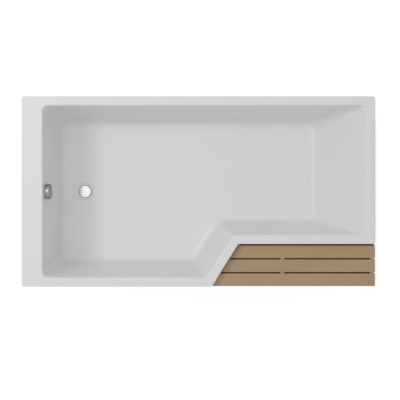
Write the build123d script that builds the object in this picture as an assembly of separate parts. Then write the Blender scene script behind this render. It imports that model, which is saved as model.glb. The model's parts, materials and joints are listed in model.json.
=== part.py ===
"""Shower bath with a slanting step in its front and a slatted wooden shelf in the corner that it leaves.

Millimetres, +Z up. The origin is on the floor under the middle of the rectangle that bath and shelf fill.
X runs from the tap end to the head end, and Y from the open front to the wall side.
"""
from build123d import *
import math
import os

# Bath seen from above: the step's run and depth, and the narrow part that follows it to the head end
tub_length = 1700.0
tub_width = 915.0
narrow_length = 658.0
step_run = 129.0
step_depth = 205.0
deck_width = 100.0
rim_width = 44.0

# Basin: how far each wall leans inwards between the rim and the floor
basin_depth = 420.0
tap_end_lean = 45.0
front_lean = 55.0
step_lean = 80.0
narrow_lean = 55.0
backrest_lean = 215.0
wall_side_lean = 52.0
floor_fall_share = 0.01
floor_radius = 42.0
corner_radius_top = 26.0
corner_radius_floor = 60.0

# Acrylic sheet, its hanging lip and its edges
sheet = 5.0
lip_height = 40.0
outer_corner_radius = 12.0
step_corner_radius = 7.0
rim_edge_radius = 4.0
rim_roll_radius = 7.0

# Glass-fibre coat under the acrylic
coat = 3.0
bond = 0.1
coat_gap_under_rim = 6.0
coat_hole_clearance = 1.0

# Base board bonded under the floor
board_thickness = 16.0
board_margin = 57.0
board_corner_radius = 25.0
board_notch_radius = 60.0

# Timber under the rim
batten_width = 22.0
batten_lip_gap = 7.0
batten_end_gap = 4.0
deck_board_width = 76.0
deck_board_thickness = 20.0

# Leg rails: folded steel hats across the bath, with their flanges up against the base board
rail_tap_inset = 400.0
rail_step_setback = 123.0
rail_head_inset = 410.0
rail_names = ("tap", "middle", "head")
rail_channel = 34.0
rail_flange = 18.0
rail_sheet = 2.5
rail_overhang = 40.0

# Screws that hold the rails to the base board
rail_screw_radius = 2.25
rail_screw_bite = 12.0
rail_screw_head_radius = 4.5
rail_screw_head_height = 2.5
rail_screw_inset = 70.0
thread_clearance = 0.05

# Levelling feet, and how far each can be turned down or up
foot_inset = 30.0
foot_lower = 12.0
foot_raise = 15.0
stud_radius = 5.0
stud_spare = 1.0
stud_headroom = 6.4
stud_hole_clearance = 0.6
pad_radius = 25.0
pad_rim = 5.0
pad_shoulder_radius = 21.0
pad_top_radius = 11.0
pad_height = 16.0
pad_socket_floor = 6.0
nut_flats = 17.0
nut_height = 8.0
nut_seat_gap = 0.1
running_clearance = 0.08
soft_clearance = 0.3

# Clips that hook the lip to the room's wall
clip_tap_inset = 420.0
clip_head_inset = 430.0
clip_width = 40.0
clip_sheet = 2.5
clip_hang = 70.0
clip_tab = 25.0
clip_hole_radius = 3.25
clip_hole_spacing = 26.0
clip_hole_margin = 14.0

# Waste outlet, on the middle line of the wide end
waste_x = 268.0
dish_depth = 3.0
dish_radius = 47.0
dish_floor_radius = 40.0
waste_hole_radius = 26.0
flange_radius = 36.0
flange_thickness = 2.0
tail_radius = 24.0
tail_bore = 21.0
tail_length = 30.0
spider_drop = 17.0
spider_height = 4.0
spider_arm_width = 4.0
spider_hub_radius = 7.5
spider_arms = 3
gasket_thickness = 3.0
gasket_radius = 38.0

# Waste body under the floor
body_flange_radius = 40.0
body_flange_thickness = 5.0
body_wall = 5.0
body_height = 54.0
body_floor = 3.0
body_outlet_length = 18.0
inlet_height = 20.0
inlet_length = 34.0

# Pop-up plug
cap_radius = 33.0
cap_edge = 3.0
cap_height = 7.0
cap_edge_radius = 1.2
cap_gap = 1.2
cap_lift = 10.0
boss_radius = 17.0
boss_height = 9.0
boss_lip = 1.6
seal_height = 3.0
seal_drop = 3.0
stem_radius = 4.0
stem_insert = 7.0

# Lever that pushes the plug up, its pin and its box on the waste body
lever_reach = 34.0
lever_crank = 16.0
lever_radius = 3.0
lever_eye_radius = 5.0
lever_width = 6.0
lever_height = 18.0
lever_stem_gap = 0.3
wire_hole_radius = 1.0
pin_radius = 2.0
pin_overhang = 0.5
box_wall = 2.5
box_gap = 2.5
box_end_gap = 6.0
box_cap_thickness = 3.0

# Overflow behind the tap end wall
overflow_depth = 66.0
overflow_hole_radius = 27.0
overflow_ring_radius = 33.0
overflow_ring_thickness = 4.0
overflow_ring_edge = 1.5
overflow_tail_radius = 24.0
overflow_tail_bore = 21.5
overflow_thread = 10.0
overflow_seal_radius = 35.0
cup_radius = 31.0
cup_wall = 3.0
cup_depth = 38.0
cup_flange_radius = 36.0
cup_flange_thickness = 4.0
cup_boss_radius = 8.0
cup_boss_length = 10.0

# Knob, its spindle and the drum that pulls the cable
knob_radius = 37.0
knob_depth = 20.0
knob_gap = 7.0
knob_wall = 2.5
knob_edge_radius = 7.0
knob_hub_radius = 9.0
knob_mark_radius = 2.0
knob_mark_depth = 0.8
knob_mark_inset = 9.0
spindle_radius = 4.0
drum_radius = 10.0
drum_groove_radius = 4.5
drum_groove = 3.0
drum_thickness = 7.0
drum_gap = 2.0
drum_box_radius = 16.0
drum_box_wall = 2.5
drum_box_depth = 11.0

# Cable sheath from the drum to the lever's box
cable_radius = 2.5
cable_side = 110.0
cable_bend_radius = 38.0
sleeve_radius = 5.0
sleeve_length = 8.0

# Overflow pipe, its sockets and nuts
pipe_radius = 15.0
pipe_wall = 2.0
pipe_bend_radius = 45.0
socket_wall = 3.0
socket_length = 28.0
socket_shoulder = 6.0
pipe_nut_wall = 4.0
pipe_nut_grip = 14.0
nut_lip = 3.0
pipe_seal_thickness = 2.0

# Trap under the waste body
trap_radius = 22.0
trap_wall = 3.0
trap_shoulder = 1.5
trap_collar = 4.0
trap_washer_thickness = 2.0
trap_ground_gap = 20.0
trap_bend_radius = 27.0
trap_drop_straight = 26.0
trap_low_straight = 12.0
trap_rise_straight = 4.0
trap_outlet_straight = 27.0
trap_nut_wall = 6.0
trap_nut_grip = 14.0
outlet_bore = 20.2
outlet_wall = 4.8
outlet_socket_length = 30.0
outlet_nut_wall = 4.0
outlet_nut_grip = 18.0

# Slatted shelf
slat_count = 3
slat_drop = 40.0
slat_thickness = 18.0
slat_gap = 7.0
slat_rim_gap = 8.5
slat_step_gap = 4.0
slat_overhang = 4.0
slat_edge_radius = 2.0
spacer_drop = 1.5
gap_strip_width = 22.0
gap_strip_height = 10.0
gap_strip_clearance = 1.0
bearer_width = 20.0
bearer_height = 30.0
bearer_setback = 8.0
bearer_rear_setback = 4.0
middle_bearer_inset = 444.0
end_bearer_inset = 10.0
step_bearer_inset = 30.0
shelf_rail_height = 45.0
shelf_rail_width = 22.0
rear_rail_proud = 1.0
front_rail_setback = 12.0
leg_side = 40.0
leg_end_inset = 16.0
leg_screw_spacing = 20.0
glide_height = 6.0
glide_radius = 15.0
glide_nail_radius = 1.5
glide_nail_length = 18.0
stretcher_height = 40.0
stretcher_width = 20.0
stretcher_level = 120.0
wood_screw_radius = 2.0
wood_screw_bite = 14.0
wood_screw_head_radius = 4.0
wood_screw_head_height = 2.5
wood_screw_pocket = 10.0
wood_screw_stagger = 4.0

# Steel angles, end to end, that hang the shelf's rear rail on the timber under the narrow rim
bracket_count = 2
bracket_step_gap = 10.0
bracket_head_gap = 1.0
bracket_joint = 1.0
bracket_sheet = 3.0
bracket_drop = 82.0
bracket_screw_end = 70.0
bracket_screw_inset = 14.0

# Cuts run this far past the faces that they open
overrun = 2.0

on_base = (Align.CENTER, Align.CENTER, Align.MIN)
hanging = (Align.CENTER, Align.CENTER, Align.MAX)
from_low = (Align.MIN, Align.MIN, Align.MIN)

# Places that follow from the sizes above
tap_end_x = -(tub_length + slat_overhang) / 2
head_end_x = tap_end_x + tub_length
wall_side_y = tub_width / 2
front_y = wall_side_y - tub_width
narrow_y = front_y + step_depth
step_back_x = tub_length - narrow_length
step_front_x = step_back_x - step_run
waste_place_x = tap_end_x + waste_x

# Heights of the trap and the waste, from the room's floor upwards
trap_low = trap_ground_gap + trap_radius
trap_outlet_height = trap_low + 2 * trap_bend_radius + trap_rise_straight
trap_top_z = trap_low + trap_bend_radius + trap_drop_straight
outlet_z = trap_top_z + trap_washer_thickness
body_bottom_z = outlet_z + body_outlet_length
body_top_z = body_bottom_z + body_height
under_sheet_z = body_top_z + gasket_thickness
dish_z = under_sheet_z + sheet
floor_z = dish_z + dish_depth

# Heights of the bath's rim
rim_height = floor_z + basin_depth
slab_z = rim_height - sheet
lip_z = rim_height - lip_height
board_drop = sheet + bond + coat + bond + board_thickness
batten_inset = sheet + batten_lip_gap

# Leg rails and clips along the bath, and how high a rail must be for its feet's travel
rail_places = (
    rail_tap_inset,
    step_front_x - rail_step_setback,
    tub_length - rail_head_inset,
)
clip_places = (clip_tap_inset, tub_length - clip_head_inset)
stud_reach = nut_seat_gap + nut_height + foot_lower + stud_spare
rail_height = rail_sheet + stud_reach + foot_raise + stud_headroom

# Waste body, its lever, the plug and the trap's runs
inlet_z = body_bottom_z + inlet_height
pivot_z = body_bottom_z + lever_height
body_bore = tail_radius + running_clearance
body_radius = body_bore + body_wall
body_outlet_radius = trap_radius + trap_shoulder
body_outlet_bore = trap_radius - trap_wall
trap_reach = 2 * trap_bend_radius + trap_low_straight
trap_outlet_y = trap_reach + trap_bend_radius + trap_outlet_straight
cap_z = dish_z + flange_thickness + cap_gap
crank_z = pivot_z + lever_crank
pivot_y = -lever_reach
lever_angle = math.degrees(math.asin(cap_lift / 2 / lever_reach))

# Depths of the overflow, along its axis from the inside of the tap end wall
seal_back = -sheet - gasket_thickness
cup_back = seal_back - cup_depth
drum_place = cup_back - drum_gap - drum_thickness / 2
knob_face = knob_gap + knob_depth
pipe_socket_radius = pipe_radius + running_clearance + socket_wall

# Heights of the shelf
shelf_z = rim_height - slat_drop
slat_z = shelf_z - slat_thickness
bearer_z = slat_z - bearer_height
shelf_rail_z = bearer_z - shelf_rail_height
slat_rear_y = narrow_y - slat_rim_gap
slat_width = (slat_rear_y - front_y - (slat_count - 1) * slat_gap) / slat_count
slat_end_x = head_end_x + slat_overhang
middle_bearer_x = head_end_x - middle_bearer_inset
end_bearer_x = head_end_x - end_bearer_inset
bracket_run = narrow_length - bracket_step_gap - bracket_head_gap + bracket_joint
bracket_length = bracket_run / bracket_count - bracket_joint
bracket_starts = [
    tap_end_x + step_back_x + bracket_step_gap + index * (bracket_length + bracket_joint)
    for index in range(bracket_count)
]
bearer_rear_y = slat_rear_y - bearer_rear_setback
bearer_front_y = front_y + bearer_setback
rear_rail_y = slat_rear_y + rear_rail_proud
front_rail_y = front_y + front_rail_setback


class Side:
    """One straight side of the bath: which way it faces, where its outer edge is, its rim and its lean."""

    def __init__(self, facing, point, rim, lean, timber):
        self.facing = Vector(*facing).normalized()
        self.place = self.facing.dot(Vector(*point))
        self.rim = rim
        self.lean = lean
        self.timber = timber
        self.slope = math.hypot(basin_depth, lean) / basin_depth

    def inset_at(self, depth, grow):
        """Distance from the outer edge to the wall at a depth, for a skin grown outwards by grow."""
        return self.rim + self.lean * depth / basin_depth - grow * self.slope


front_edge = (tap_end_x, front_y)
step_edge = (tap_end_x + step_front_x, front_y)
head_edge = (head_end_x, wall_side_y)
step_facing = (narrow_y - front_y, step_front_x - step_back_x)

# The sides in order round the bath. Each corner lies between a side and the next
sides = (
    Side((-1, 0), front_edge, deck_width, tap_end_lean, deck_board_width),
    Side((0, -1), front_edge, rim_width, front_lean, batten_width),
    Side(step_facing, step_edge, rim_width, step_lean, batten_width),
    Side((0, -1), (tap_end_x, narrow_y), rim_width, narrow_lean, batten_width),
    Side((1, 0), head_edge, rim_width, backrest_lean, batten_width),
    Side((0, 1), head_edge, rim_width, wall_side_lean, batten_width),
)
tap_side, front_side, step_side, narrow_side, head_side, wall_side = sides
# The corner between the step and the narrow front points into the bath
corner_turns = (1, 1, -1, 1, 1, 1)
outer_radii = (
    outer_corner_radius,
    step_corner_radius,
    step_corner_radius,
    outer_corner_radius,
    outer_corner_radius,
    outer_corner_radius,
)


def meeting_point(side, inset, follower, next_inset):
    """Where two sides cross when each is moved inwards by its own inset."""
    reach = side.place - inset
    next_reach = follower.place - next_inset
    turn = side.facing.X * follower.facing.Y - side.facing.Y * follower.facing.X
    x = (reach * follower.facing.Y - next_reach * side.facing.Y) / turn
    y = (next_reach * side.facing.X - reach * follower.facing.X) / turn
    return (x, y)


def corner_points(insets):
    """Corners of the bath's outline with each side moved inwards by its own inset."""
    points = []
    for index, side in enumerate(sides):
        follower = (index + 1) % len(sides)
        points.append(meeting_point(side, insets[index], sides[follower], insets[follower]))
    return points


def outline(insets, radii):
    """Face inside the bath's outline, with rounded corners."""
    return make_face(FilletPolyline(*corner_points(insets), radius=radii, close=True))


def prism(face, low, high):
    """Upright solid on a face between two heights."""
    return extrude(Pos(0, 0, low) * face, high - low)


def rim_prism(inset, low, high):
    """Upright solid with every side moved in alike from the rim's outer edge."""
    radii = [max(radius - inset * turn, sheet / 2) for radius, turn in zip(outer_radii, corner_turns)]
    return prism(outline([inset] * len(sides), radii), low, high)


def floor_plane(drop):
    """Plane of the basin's floor, moved down by drop. It rises from the waste towards the head end."""
    return Plane(
        origin=(waste_place_x, 0, floor_z - drop),
        x_dir=(1, 0, floor_fall_share),
        z_dir=(-floor_fall_share, 0, 1),
    )


def floor_level(x, drop):
    """Height of the floor plane at a place along the bath, moved down by drop."""
    return floor_z - drop + floor_fall_share * (x - waste_place_x)


def above_floor(drop, height):
    """Block wider than the bath that stands on the floor plane."""
    return floor_plane(drop) * Box(2 * tub_length, 2 * tub_width, height, align=on_base)


def basin(grow):
    """Space inside the walls and floor. Grow makes it the outside of a skin of that thickness."""
    sections = []
    for depth in (-overrun, basin_depth + floor_radius):
        insets = [side.inset_at(depth, grow) for side in sides]
        widening = (corner_radius_floor - corner_radius_top) * depth / basin_depth
        radii = [corner_radius_top + widening + grow * turn for turn in corner_turns]
        sections.append(Pos(0, 0, rim_height - depth) * outline(insets, radii))
    space = loft(sections, ruled=True) & above_floor(grow, 2 * basin_depth)
    bottom = space.faces().sort_by(Axis.Z)[0]
    return fillet(bottom.edges(), floor_radius + grow)


def tube(outer, inner, length):
    """Round tube that stands on its end."""
    core = Pos(0, 0, -overrun) * Cylinder(inner, length + 2 * overrun, align=on_base)
    return Cylinder(outer, length, align=on_base) - core


def swept_tube(points, radius, outer, inner):
    """Round tube along straight runs joined by arcs of one radius."""
    path = FilletPolyline(*points, radius=radius)
    start = Plane(origin=path @ 0, z_dir=path % 0)
    solid = sweep(start * Circle(outer), path)
    if inner:
        solid -= sweep(start * Circle(inner), path)
    return solid


def box_between(low, high):
    """Upright box between two opposite corners."""
    size = Vector(*high) - Vector(*low)
    return Pos(*low) * Box(size.X, size.Y, size.Z, align=from_low)


def screw(radius, length, head_radius, head_height):
    """Screw that points up from the face that its head bears on."""
    shank = Cylinder(radius, length, align=on_base)
    return shank + Cylinder(head_radius, head_height, align=hanging)


def screw_hole(radius, length, head_radius, pocket):
    """Cut for a screw: its shank's hole, and a pocket that lets its head into the timber."""
    shank = Pos(0, 0, -overrun) * Cylinder(
        radius + thread_clearance, length + overrun + soft_clearance, align=on_base
    )
    if not pocket:
        return shank
    return shank + Cylinder(head_radius + soft_clearance, pocket + overrun, align=hanging)


def spider(hub_radius, rim_radius, height, bore):
    """Hub held in a ring by flat arms, with a bore through it for a shaft."""
    body = Cylinder(hub_radius, height, align=on_base)
    for arm in range(spider_arms):
        reach = Box(rim_radius, spider_arm_width, height, align=(Align.MIN, Align.CENTER, Align.MIN))
        body += Rot(0, 0, arm * 360 / spider_arms) * reach
    return body - Pos(0, 0, -overrun) * Cylinder(bore, height + 2 * overrun, align=on_base)


def overflow_plane():
    """Plane on the inside of the tap end wall: X along the wall, Y up it and Z into the basin."""
    return Plane(
        origin=(tap_end_x + tap_side.inset_at(overflow_depth, 0), 0, rim_height - overflow_depth),
        x_dir=(0, 1, 0),
        z_dir=(basin_depth, 0, tap_end_lean),
    )


def on_overflow(x, y, z):
    """Place on the overflow's own plane."""
    return overflow_plane().location * Pos(x, y, z)


def at_waste(height):
    """Place on the waste's axis."""
    return Pos(waste_place_x, 0, height)


def tub_shell():
    """Acrylic bath: flat rim, hanging lip, leaning walls and falling floor in one sheet."""
    lip = rim_prism(0, lip_z, rim_height) - rim_prism(sheet, lip_z - overrun, slab_z)
    skin = basin(sheet) & rim_prism(sheet / 2, 0, rim_height - sheet / 2)
    boss = at_waste(under_sheet_z) * Cylinder(dish_radius + sheet, dish_depth + sheet, align=on_base)
    shell = lip + skin + boss
    shell -= basin(0)
    shell -= at_waste(dish_z) * Cone(dish_floor_radius, dish_radius, dish_depth, align=on_base)
    shell -= at_waste(floor_z) * Cylinder(dish_radius, dish_depth, align=on_base)
    top = shell.faces().sort_by(Axis.Z)[-1]
    shell = fillet(top.outer_wire().edges(), rim_edge_radius)
    top = shell.faces().sort_by(Axis.Z)[-1]
    shell = fillet(top.inner_wires()[0].edges(), rim_roll_radius)
    drain = Cylinder(waste_hole_radius, basin_depth, align=on_base)
    shell -= at_waste(under_sheet_z - overrun) * drain
    return shell - on_overflow(0, 0, 0) * Cylinder(overflow_hole_radius, 4 * sheet)


def glass_fibre_coat():
    """Skin of resin and glass on the outside of the basin, clear of the waste's and the overflow's seats."""
    inner = sheet + bond
    skin = basin(inner + coat) - basin(inner)
    skin &= Box(2 * tub_length, 2 * tub_width, slab_z - coat_gap_under_rim, align=on_base)
    waste_seat = Cylinder(dish_radius + sheet + coat_hole_clearance, dish_z, align=on_base)
    overflow_seat = Cylinder(cup_flange_radius + coat_hole_clearance, 4 * (sheet + coat))
    return skin - Pos(waste_place_x, 0, 0) * waste_seat - on_overflow(0, 0, 0) * overflow_seat


def base_board():
    """Board under the floor, notched round the waste and drilled for the rails' screws."""
    insets = [side.inset_at(basin_depth, 0) + board_margin for side in sides]
    board = prism(outline(insets, [board_corner_radius] * len(sides)), 0, rim_height)
    board &= above_floor(board_drop, board_thickness)
    notch = Cylinder(board_notch_radius, rim_height, align=on_base)
    notch += Box(
        waste_x, 2 * board_notch_radius, rim_height, align=(Align.MAX, Align.CENTER, Align.MIN)
    )
    board -= Pos(waste_place_x, 0, 0) * notch
    for place in rail_screw_places():
        board -= place * screw_hole(
            rail_screw_radius, rail_sheet + rail_screw_bite, rail_screw_head_radius, 0
        )
    return board


def rim_timber(index, height):
    """Straight length of timber under one side's rim, clear of its neighbours and of the lip."""
    side = sides[index]
    corners = []
    for corner, other in ((index - 1, sides[index - 1]), (index, sides[(index + 1) % len(sides)])):
        stop = batten_inset + other.timber + batten_end_gap
        if corner_turns[corner] < 0:
            stop = batten_inset - batten_end_gap
        pair = [
            meeting_point(side, inset, other, stop)
            for inset in (batten_inset, batten_inset + side.timber)
        ]
        corners.append(pair)
    (start_outer, start_inner), (end_outer, end_inner) = corners
    face = make_face(Polyline(start_outer, end_outer, end_inner, start_inner, close=True))
    return prism(face, slab_z - height, slab_z)


def rim_battens():
    """Battens under every rim but the tap end's, which has a board. The narrow one holds the brackets."""
    battens = [rim_timber(index, lip_height - sheet) for index in range(1, len(sides))]
    hole = screw_hole(wood_screw_radius, bracket_sheet + wood_screw_bite, wood_screw_head_radius, 0)
    drilled = []
    for batten in battens:
        for place in bracket_batten_screws():
            batten -= place * hole
        drilled.append(batten)
    return drilled


class Rail:
    """Where one leg rail lies and what it carries."""

    def __init__(self, place):
        self.x = tap_end_x + place
        front, front_wall = (front_y, front_side) if place < step_front_x else (narrow_y, narrow_side)
        self.board_low_y = front + front_wall.inset_at(basin_depth, 0) + board_margin
        self.board_high_y = wall_side_y - wall_side.inset_at(basin_depth, 0) - board_margin
        self.low_y = self.board_low_y - rail_overhang
        self.high_y = self.board_high_y + rail_overhang
        self.half_width = rail_channel / 2 + rail_sheet + rail_flange
        self.top = floor_level(self.x - self.half_width, board_drop)
        self.bottom = self.top - rail_height

    def foot_places(self):
        """The two feet's places across the bath, from the front."""
        return [(self.x, self.low_y + foot_inset), (self.x, self.high_y - foot_inset)]

    def screw_places(self):
        """Seats of the four screws, under the flanges and inside the board's edge."""
        flange_middle = rail_channel / 2 + rail_sheet + rail_flange / 2
        places = []
        for offset in (-flange_middle, flange_middle):
            for y in (self.board_low_y + rail_screw_inset, self.board_high_y - rail_screw_inset):
                places.append(Pos(self.x + offset, y, self.top - rail_sheet))
        return places

    def solid(self):
        """Folded hat section with holes for the studs and the screws."""
        length = self.high_y - self.low_y
        outer = rail_channel + 2 * rail_sheet
        hat = Box(outer, length, rail_height, align=on_base)
        flanges = Box(2 * self.half_width, length, rail_sheet, align=hanging)
        hat += Pos(0, 0, rail_height) * flanges
        channel = Box(rail_channel, length + 2 * overrun, rail_height, align=on_base)
        hat -= Pos(0, 0, rail_sheet) * channel
        hat = Pos(self.x, (self.low_y + self.high_y) / 2, self.bottom) * hat
        stud_hole = Cylinder(stud_radius + stud_hole_clearance, 2 * (rail_sheet + overrun))
        for x, y in self.foot_places():
            hat -= Pos(x, y, self.bottom) * stud_hole
        for place in self.screw_places():
            hat -= place * screw_hole(rail_screw_radius, rail_sheet + overrun, rail_screw_head_radius, 0)
        return hat


def rails():
    return [Rail(place) for place in rail_places]


def rail_screw_places():
    return [place for rail in rails() for place in rail.screw_places()]


def rail_screws():
    """Screws up through the rails' flanges into the base board."""
    one = screw(
        rail_screw_radius,
        rail_sheet + rail_screw_bite,
        rail_screw_head_radius,
        rail_screw_head_height,
    )
    return [place * one for place in rail_screw_places()]


def foot_stud(x, y, rail):
    """Threaded stud from the pad's socket up through the rail and both nuts."""
    top = rail.bottom + rail_sheet + stud_reach
    return Pos(x, y, pad_socket_floor) * Cylinder(stud_radius, top - pad_socket_floor, align=on_base)


def foot_pad(x, y):
    """Moulded pad that the stud stands in."""
    pad = Cylinder(pad_radius, pad_rim, align=on_base)
    pad += Pos(0, 0, pad_rim) * Cone(
        pad_shoulder_radius, pad_top_radius, pad_height - pad_rim, align=on_base
    )
    socket = Cylinder(stud_radius + running_clearance, pad_height, align=on_base)
    return Pos(x, y, 0) * (pad - Pos(0, 0, pad_socket_floor) * socket)


def foot_nuts():
    """Two hexagon nuts on each stud, one under the rail's crown and one on it."""
    face = RegularPolygon(nut_flats / 2, 6, major_radius=False) - Circle(stud_radius + running_clearance)
    nut = extrude(face, nut_height)
    nuts = []
    for rail in rails():
        for x, y in rail.foot_places():
            nuts.append(Pos(x, y, rail.bottom - nut_seat_gap - nut_height) * nut)
            nuts.append(Pos(x, y, rail.bottom + rail_sheet + nut_seat_gap) * nut)
    return nuts


def clip_hole_heights():
    low = lip_z - clip_hang + clip_hole_margin
    return (low, low + clip_hole_spacing)


def wall_clip(place):
    """Steel strip on the room's wall, stepped inwards under the lip and up behind it."""
    x = tap_end_x + place
    west = x - clip_width / 2
    east = x + clip_width / 2
    step_z = lip_z - soft_clearance
    tab_y = wall_side_y - sheet - soft_clearance
    clip = box_between((west, wall_side_y - clip_sheet, lip_z - clip_hang), (east, wall_side_y, step_z))
    clip += box_between((west, tab_y - clip_sheet, step_z - clip_sheet), (east, wall_side_y, step_z))
    clip += box_between((west, tab_y - clip_sheet, step_z - clip_sheet), (east, tab_y, lip_z + clip_tab))
    hole = Rot(90, 0, 0) * Cylinder(clip_hole_radius, 2 * (clip_sheet + overrun))
    for height in clip_hole_heights():
        clip -= Pos(x, wall_side_y, height) * hole
    return clip


def wall_clips():
    return [wall_clip(place) for place in clip_places]


def waste_flange():
    """Plated ring in the floor's dish, with a threaded tail and a spider that guides the plug's stem."""
    flange = tube(flange_radius, tail_bore, flange_thickness)
    tail = tube(tail_radius, tail_bore, tail_length)
    guide_bore = stem_radius + running_clearance
    arms = spider(spider_hub_radius, tail_radius - overrun / 2, spider_height, guide_bore)
    body = flange + Pos(0, 0, -tail_length) * tail
    body += Pos(0, 0, -spider_drop - spider_height) * arms
    return at_waste(dish_z) * body


def waste_gasket():
    """Rubber ring between the floor's underside and the waste body."""
    return at_waste(body_top_z) * tube(gasket_radius, tail_radius + soft_clearance, gasket_thickness)


def lever_box_reach():
    """Height range of the lever's space, and how far it runs from the waste's axis."""
    low = pivot_z - lever_eye_radius - box_gap
    high = crank_z + lever_radius + box_gap
    end = pivot_y - lever_eye_radius - box_end_gap
    return low, high, end


def waste_body():
    """Moulded body under the floor: inlet from the overflow, outlet to the trap, and the lever's box."""
    flange = at_waste(body_top_z) * Cylinder(body_flange_radius, body_flange_thickness, align=hanging)
    barrel = at_waste(body_bottom_z) * Cylinder(body_radius, body_height, align=on_base)
    outlet = at_waste(outlet_z) * Cylinder(
        body_outlet_radius, body_outlet_length + body_floor, align=on_base
    )
    to_tap_end = Pos(waste_place_x, 0, inlet_z) * Rot(0, -90, 0)
    inlet_reach = body_radius + inlet_length
    inlet = to_tap_end * Cylinder(pipe_socket_radius, inlet_reach, align=on_base)
    low, high, end = lever_box_reach()
    half = lever_width / 2 + box_gap
    box_low = (waste_place_x - half - box_wall, end, low - box_wall)
    box_high = (waste_place_x + half + box_wall, 0, high + box_wall)
    body = flange + barrel + outlet + inlet + box_between(box_low, box_high)
    body -= at_waste(body_bottom_z + body_floor) * Cylinder(body_bore, body_height, align=on_base)
    body -= at_waste(outlet_z - overrun) * Cylinder(body_outlet_bore, body_height, align=on_base)
    body -= to_tap_end * Cylinder(pipe_radius - pipe_wall, inlet_reach, align=on_base)
    socket = Cylinder(pipe_radius + running_clearance, socket_length + overrun, align=on_base)
    body -= to_tap_end * Pos(0, 0, inlet_reach - socket_length) * socket
    body -= box_between(
        (waste_place_x - half, end - overrun, low),
        (waste_place_x + half, 0, high),
    )
    pin_hole = Rot(0, 90, 0) * Cylinder(pin_radius + thread_clearance, 2 * body_flange_radius)
    return body - Pos(waste_place_x, pivot_y, pivot_z) * pin_hole


def plug_cap():
    """Domed plug with a boss that holds the seal and the stem."""
    rise = cap_height - cap_edge
    dome_radius = (cap_radius**2 + rise**2) / (2 * rise)
    cap = Cylinder(cap_radius, cap_height, align=on_base) & Pos(0, 0, cap_height - dome_radius) * Sphere(
        dome_radius
    )
    side_face = cap.faces().filter_by(GeomType.CYLINDER)[0]
    cap = fillet(side_face.edges().sort_by(Axis.Z)[-1], cap_edge_radius)
    cap += Cylinder(boss_radius, boss_height, align=hanging)
    lip_radius = (boss_radius + tail_bore - soft_clearance) / 2
    cap += Pos(0, 0, -boss_height) * Cylinder(lip_radius, boss_lip, align=on_base)
    stem_hole = Cylinder(stem_radius + thread_clearance, stem_insert + overrun, align=on_base)
    return at_waste(cap_z) * (cap - Pos(0, 0, -boss_height - overrun) * stem_hole)


def plug_seal():
    """Rubber ring round the plug's boss that fills the flange's bore."""
    ring = tube(tail_bore - soft_clearance, boss_radius + thread_clearance, seal_height)
    return at_waste(cap_z - seal_drop - seal_height) * ring


def plug_stem():
    """Stem from the plug down to the lever, with a round end that the lever lifts."""
    bottom = pivot_z - cap_lift / 2 + lever_radius + lever_stem_gap
    top = cap_z - boss_height + stem_insert - thread_clearance
    nose = bottom + stem_radius
    stem = Pos(0, 0, nose) * Cylinder(stem_radius, top - nose, align=on_base)
    stem += Pos(0, 0, nose) * Sphere(stem_radius)
    return Pos(waste_place_x, 0, 0) * stem


def lift_lever():
    """Cranked lever: one arm lies under the stem, the other takes the cable's wire."""
    across = Rot(0, 90, 0)
    eye = across * Cylinder(lever_eye_radius, lever_width)
    tip = Pos(0, lever_reach, 0) * across * Cylinder(lever_radius, lever_width)
    end = Pos(0, 0, lever_crank) * across * Cylinder(lever_radius, lever_width)
    arm = Box(
        lever_width, lever_reach, 2 * lever_radius, align=(Align.CENTER, Align.MIN, Align.CENTER)
    )
    crank = Box(lever_width, 2 * lever_radius, lever_crank, align=on_base)
    lever = eye + tip + end + arm + crank
    lever -= across * Cylinder(pin_radius + running_clearance, 2 * lever_width)
    lever -= Pos(0, 0, lever_crank) * across * Cylinder(wire_hole_radius, 2 * lever_width)
    return Pos(waste_place_x, pivot_y, pivot_z) * Rot(-lever_angle, 0, 0) * lever


def lever_pin():
    """Pin through both walls of the box and the lever's eye."""
    length = lever_width + 2 * (box_gap + box_wall + pin_overhang)
    return Pos(waste_place_x, pivot_y, pivot_z) * Rot(0, 90, 0) * Cylinder(pin_radius, length)


def lever_box_cap():
    """Cover on the end of the lever's box, with the sleeve that holds the cable's sheath."""
    low, high, end = lever_box_reach()
    half = lever_width / 2 + box_gap + box_wall
    cap = box_between(
        (waste_place_x - half, end - box_cap_thickness, low - box_wall),
        (waste_place_x + half, end, high + box_wall),
    )
    outwards = Pos(waste_place_x, end - box_cap_thickness, crank_z) * Rot(90, 0, 0)
    cap += outwards * Cylinder(sleeve_radius, sleeve_length, align=on_base)
    cap -= outwards * Cylinder(cable_radius + running_clearance, sleeve_length + overrun, align=on_base)
    wire_hole = Cylinder(wire_hole_radius, 2 * (sleeve_length + box_cap_thickness))
    return cap - outwards * wire_hole


def trap_nut():
    """Nut that draws the trap's collar up against the waste body's outlet."""
    bore = body_outlet_radius + running_clearance
    grip = trap_collar + trap_washer_thickness + trap_nut_grip
    nut = tube(bore + trap_nut_wall, trap_radius + running_clearance, nut_lip + grip)
    nut -= Pos(0, 0, nut_lip) * Cylinder(bore, grip + overrun, align=on_base)
    return at_waste(trap_top_z - trap_collar - nut_seat_gap - nut_lip) * nut


def trap_washer():
    """Flat rubber ring between the outlet and the trap's collar."""
    return at_waste(trap_top_z) * tube(body_outlet_radius, body_outlet_bore, trap_washer_thickness)


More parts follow.
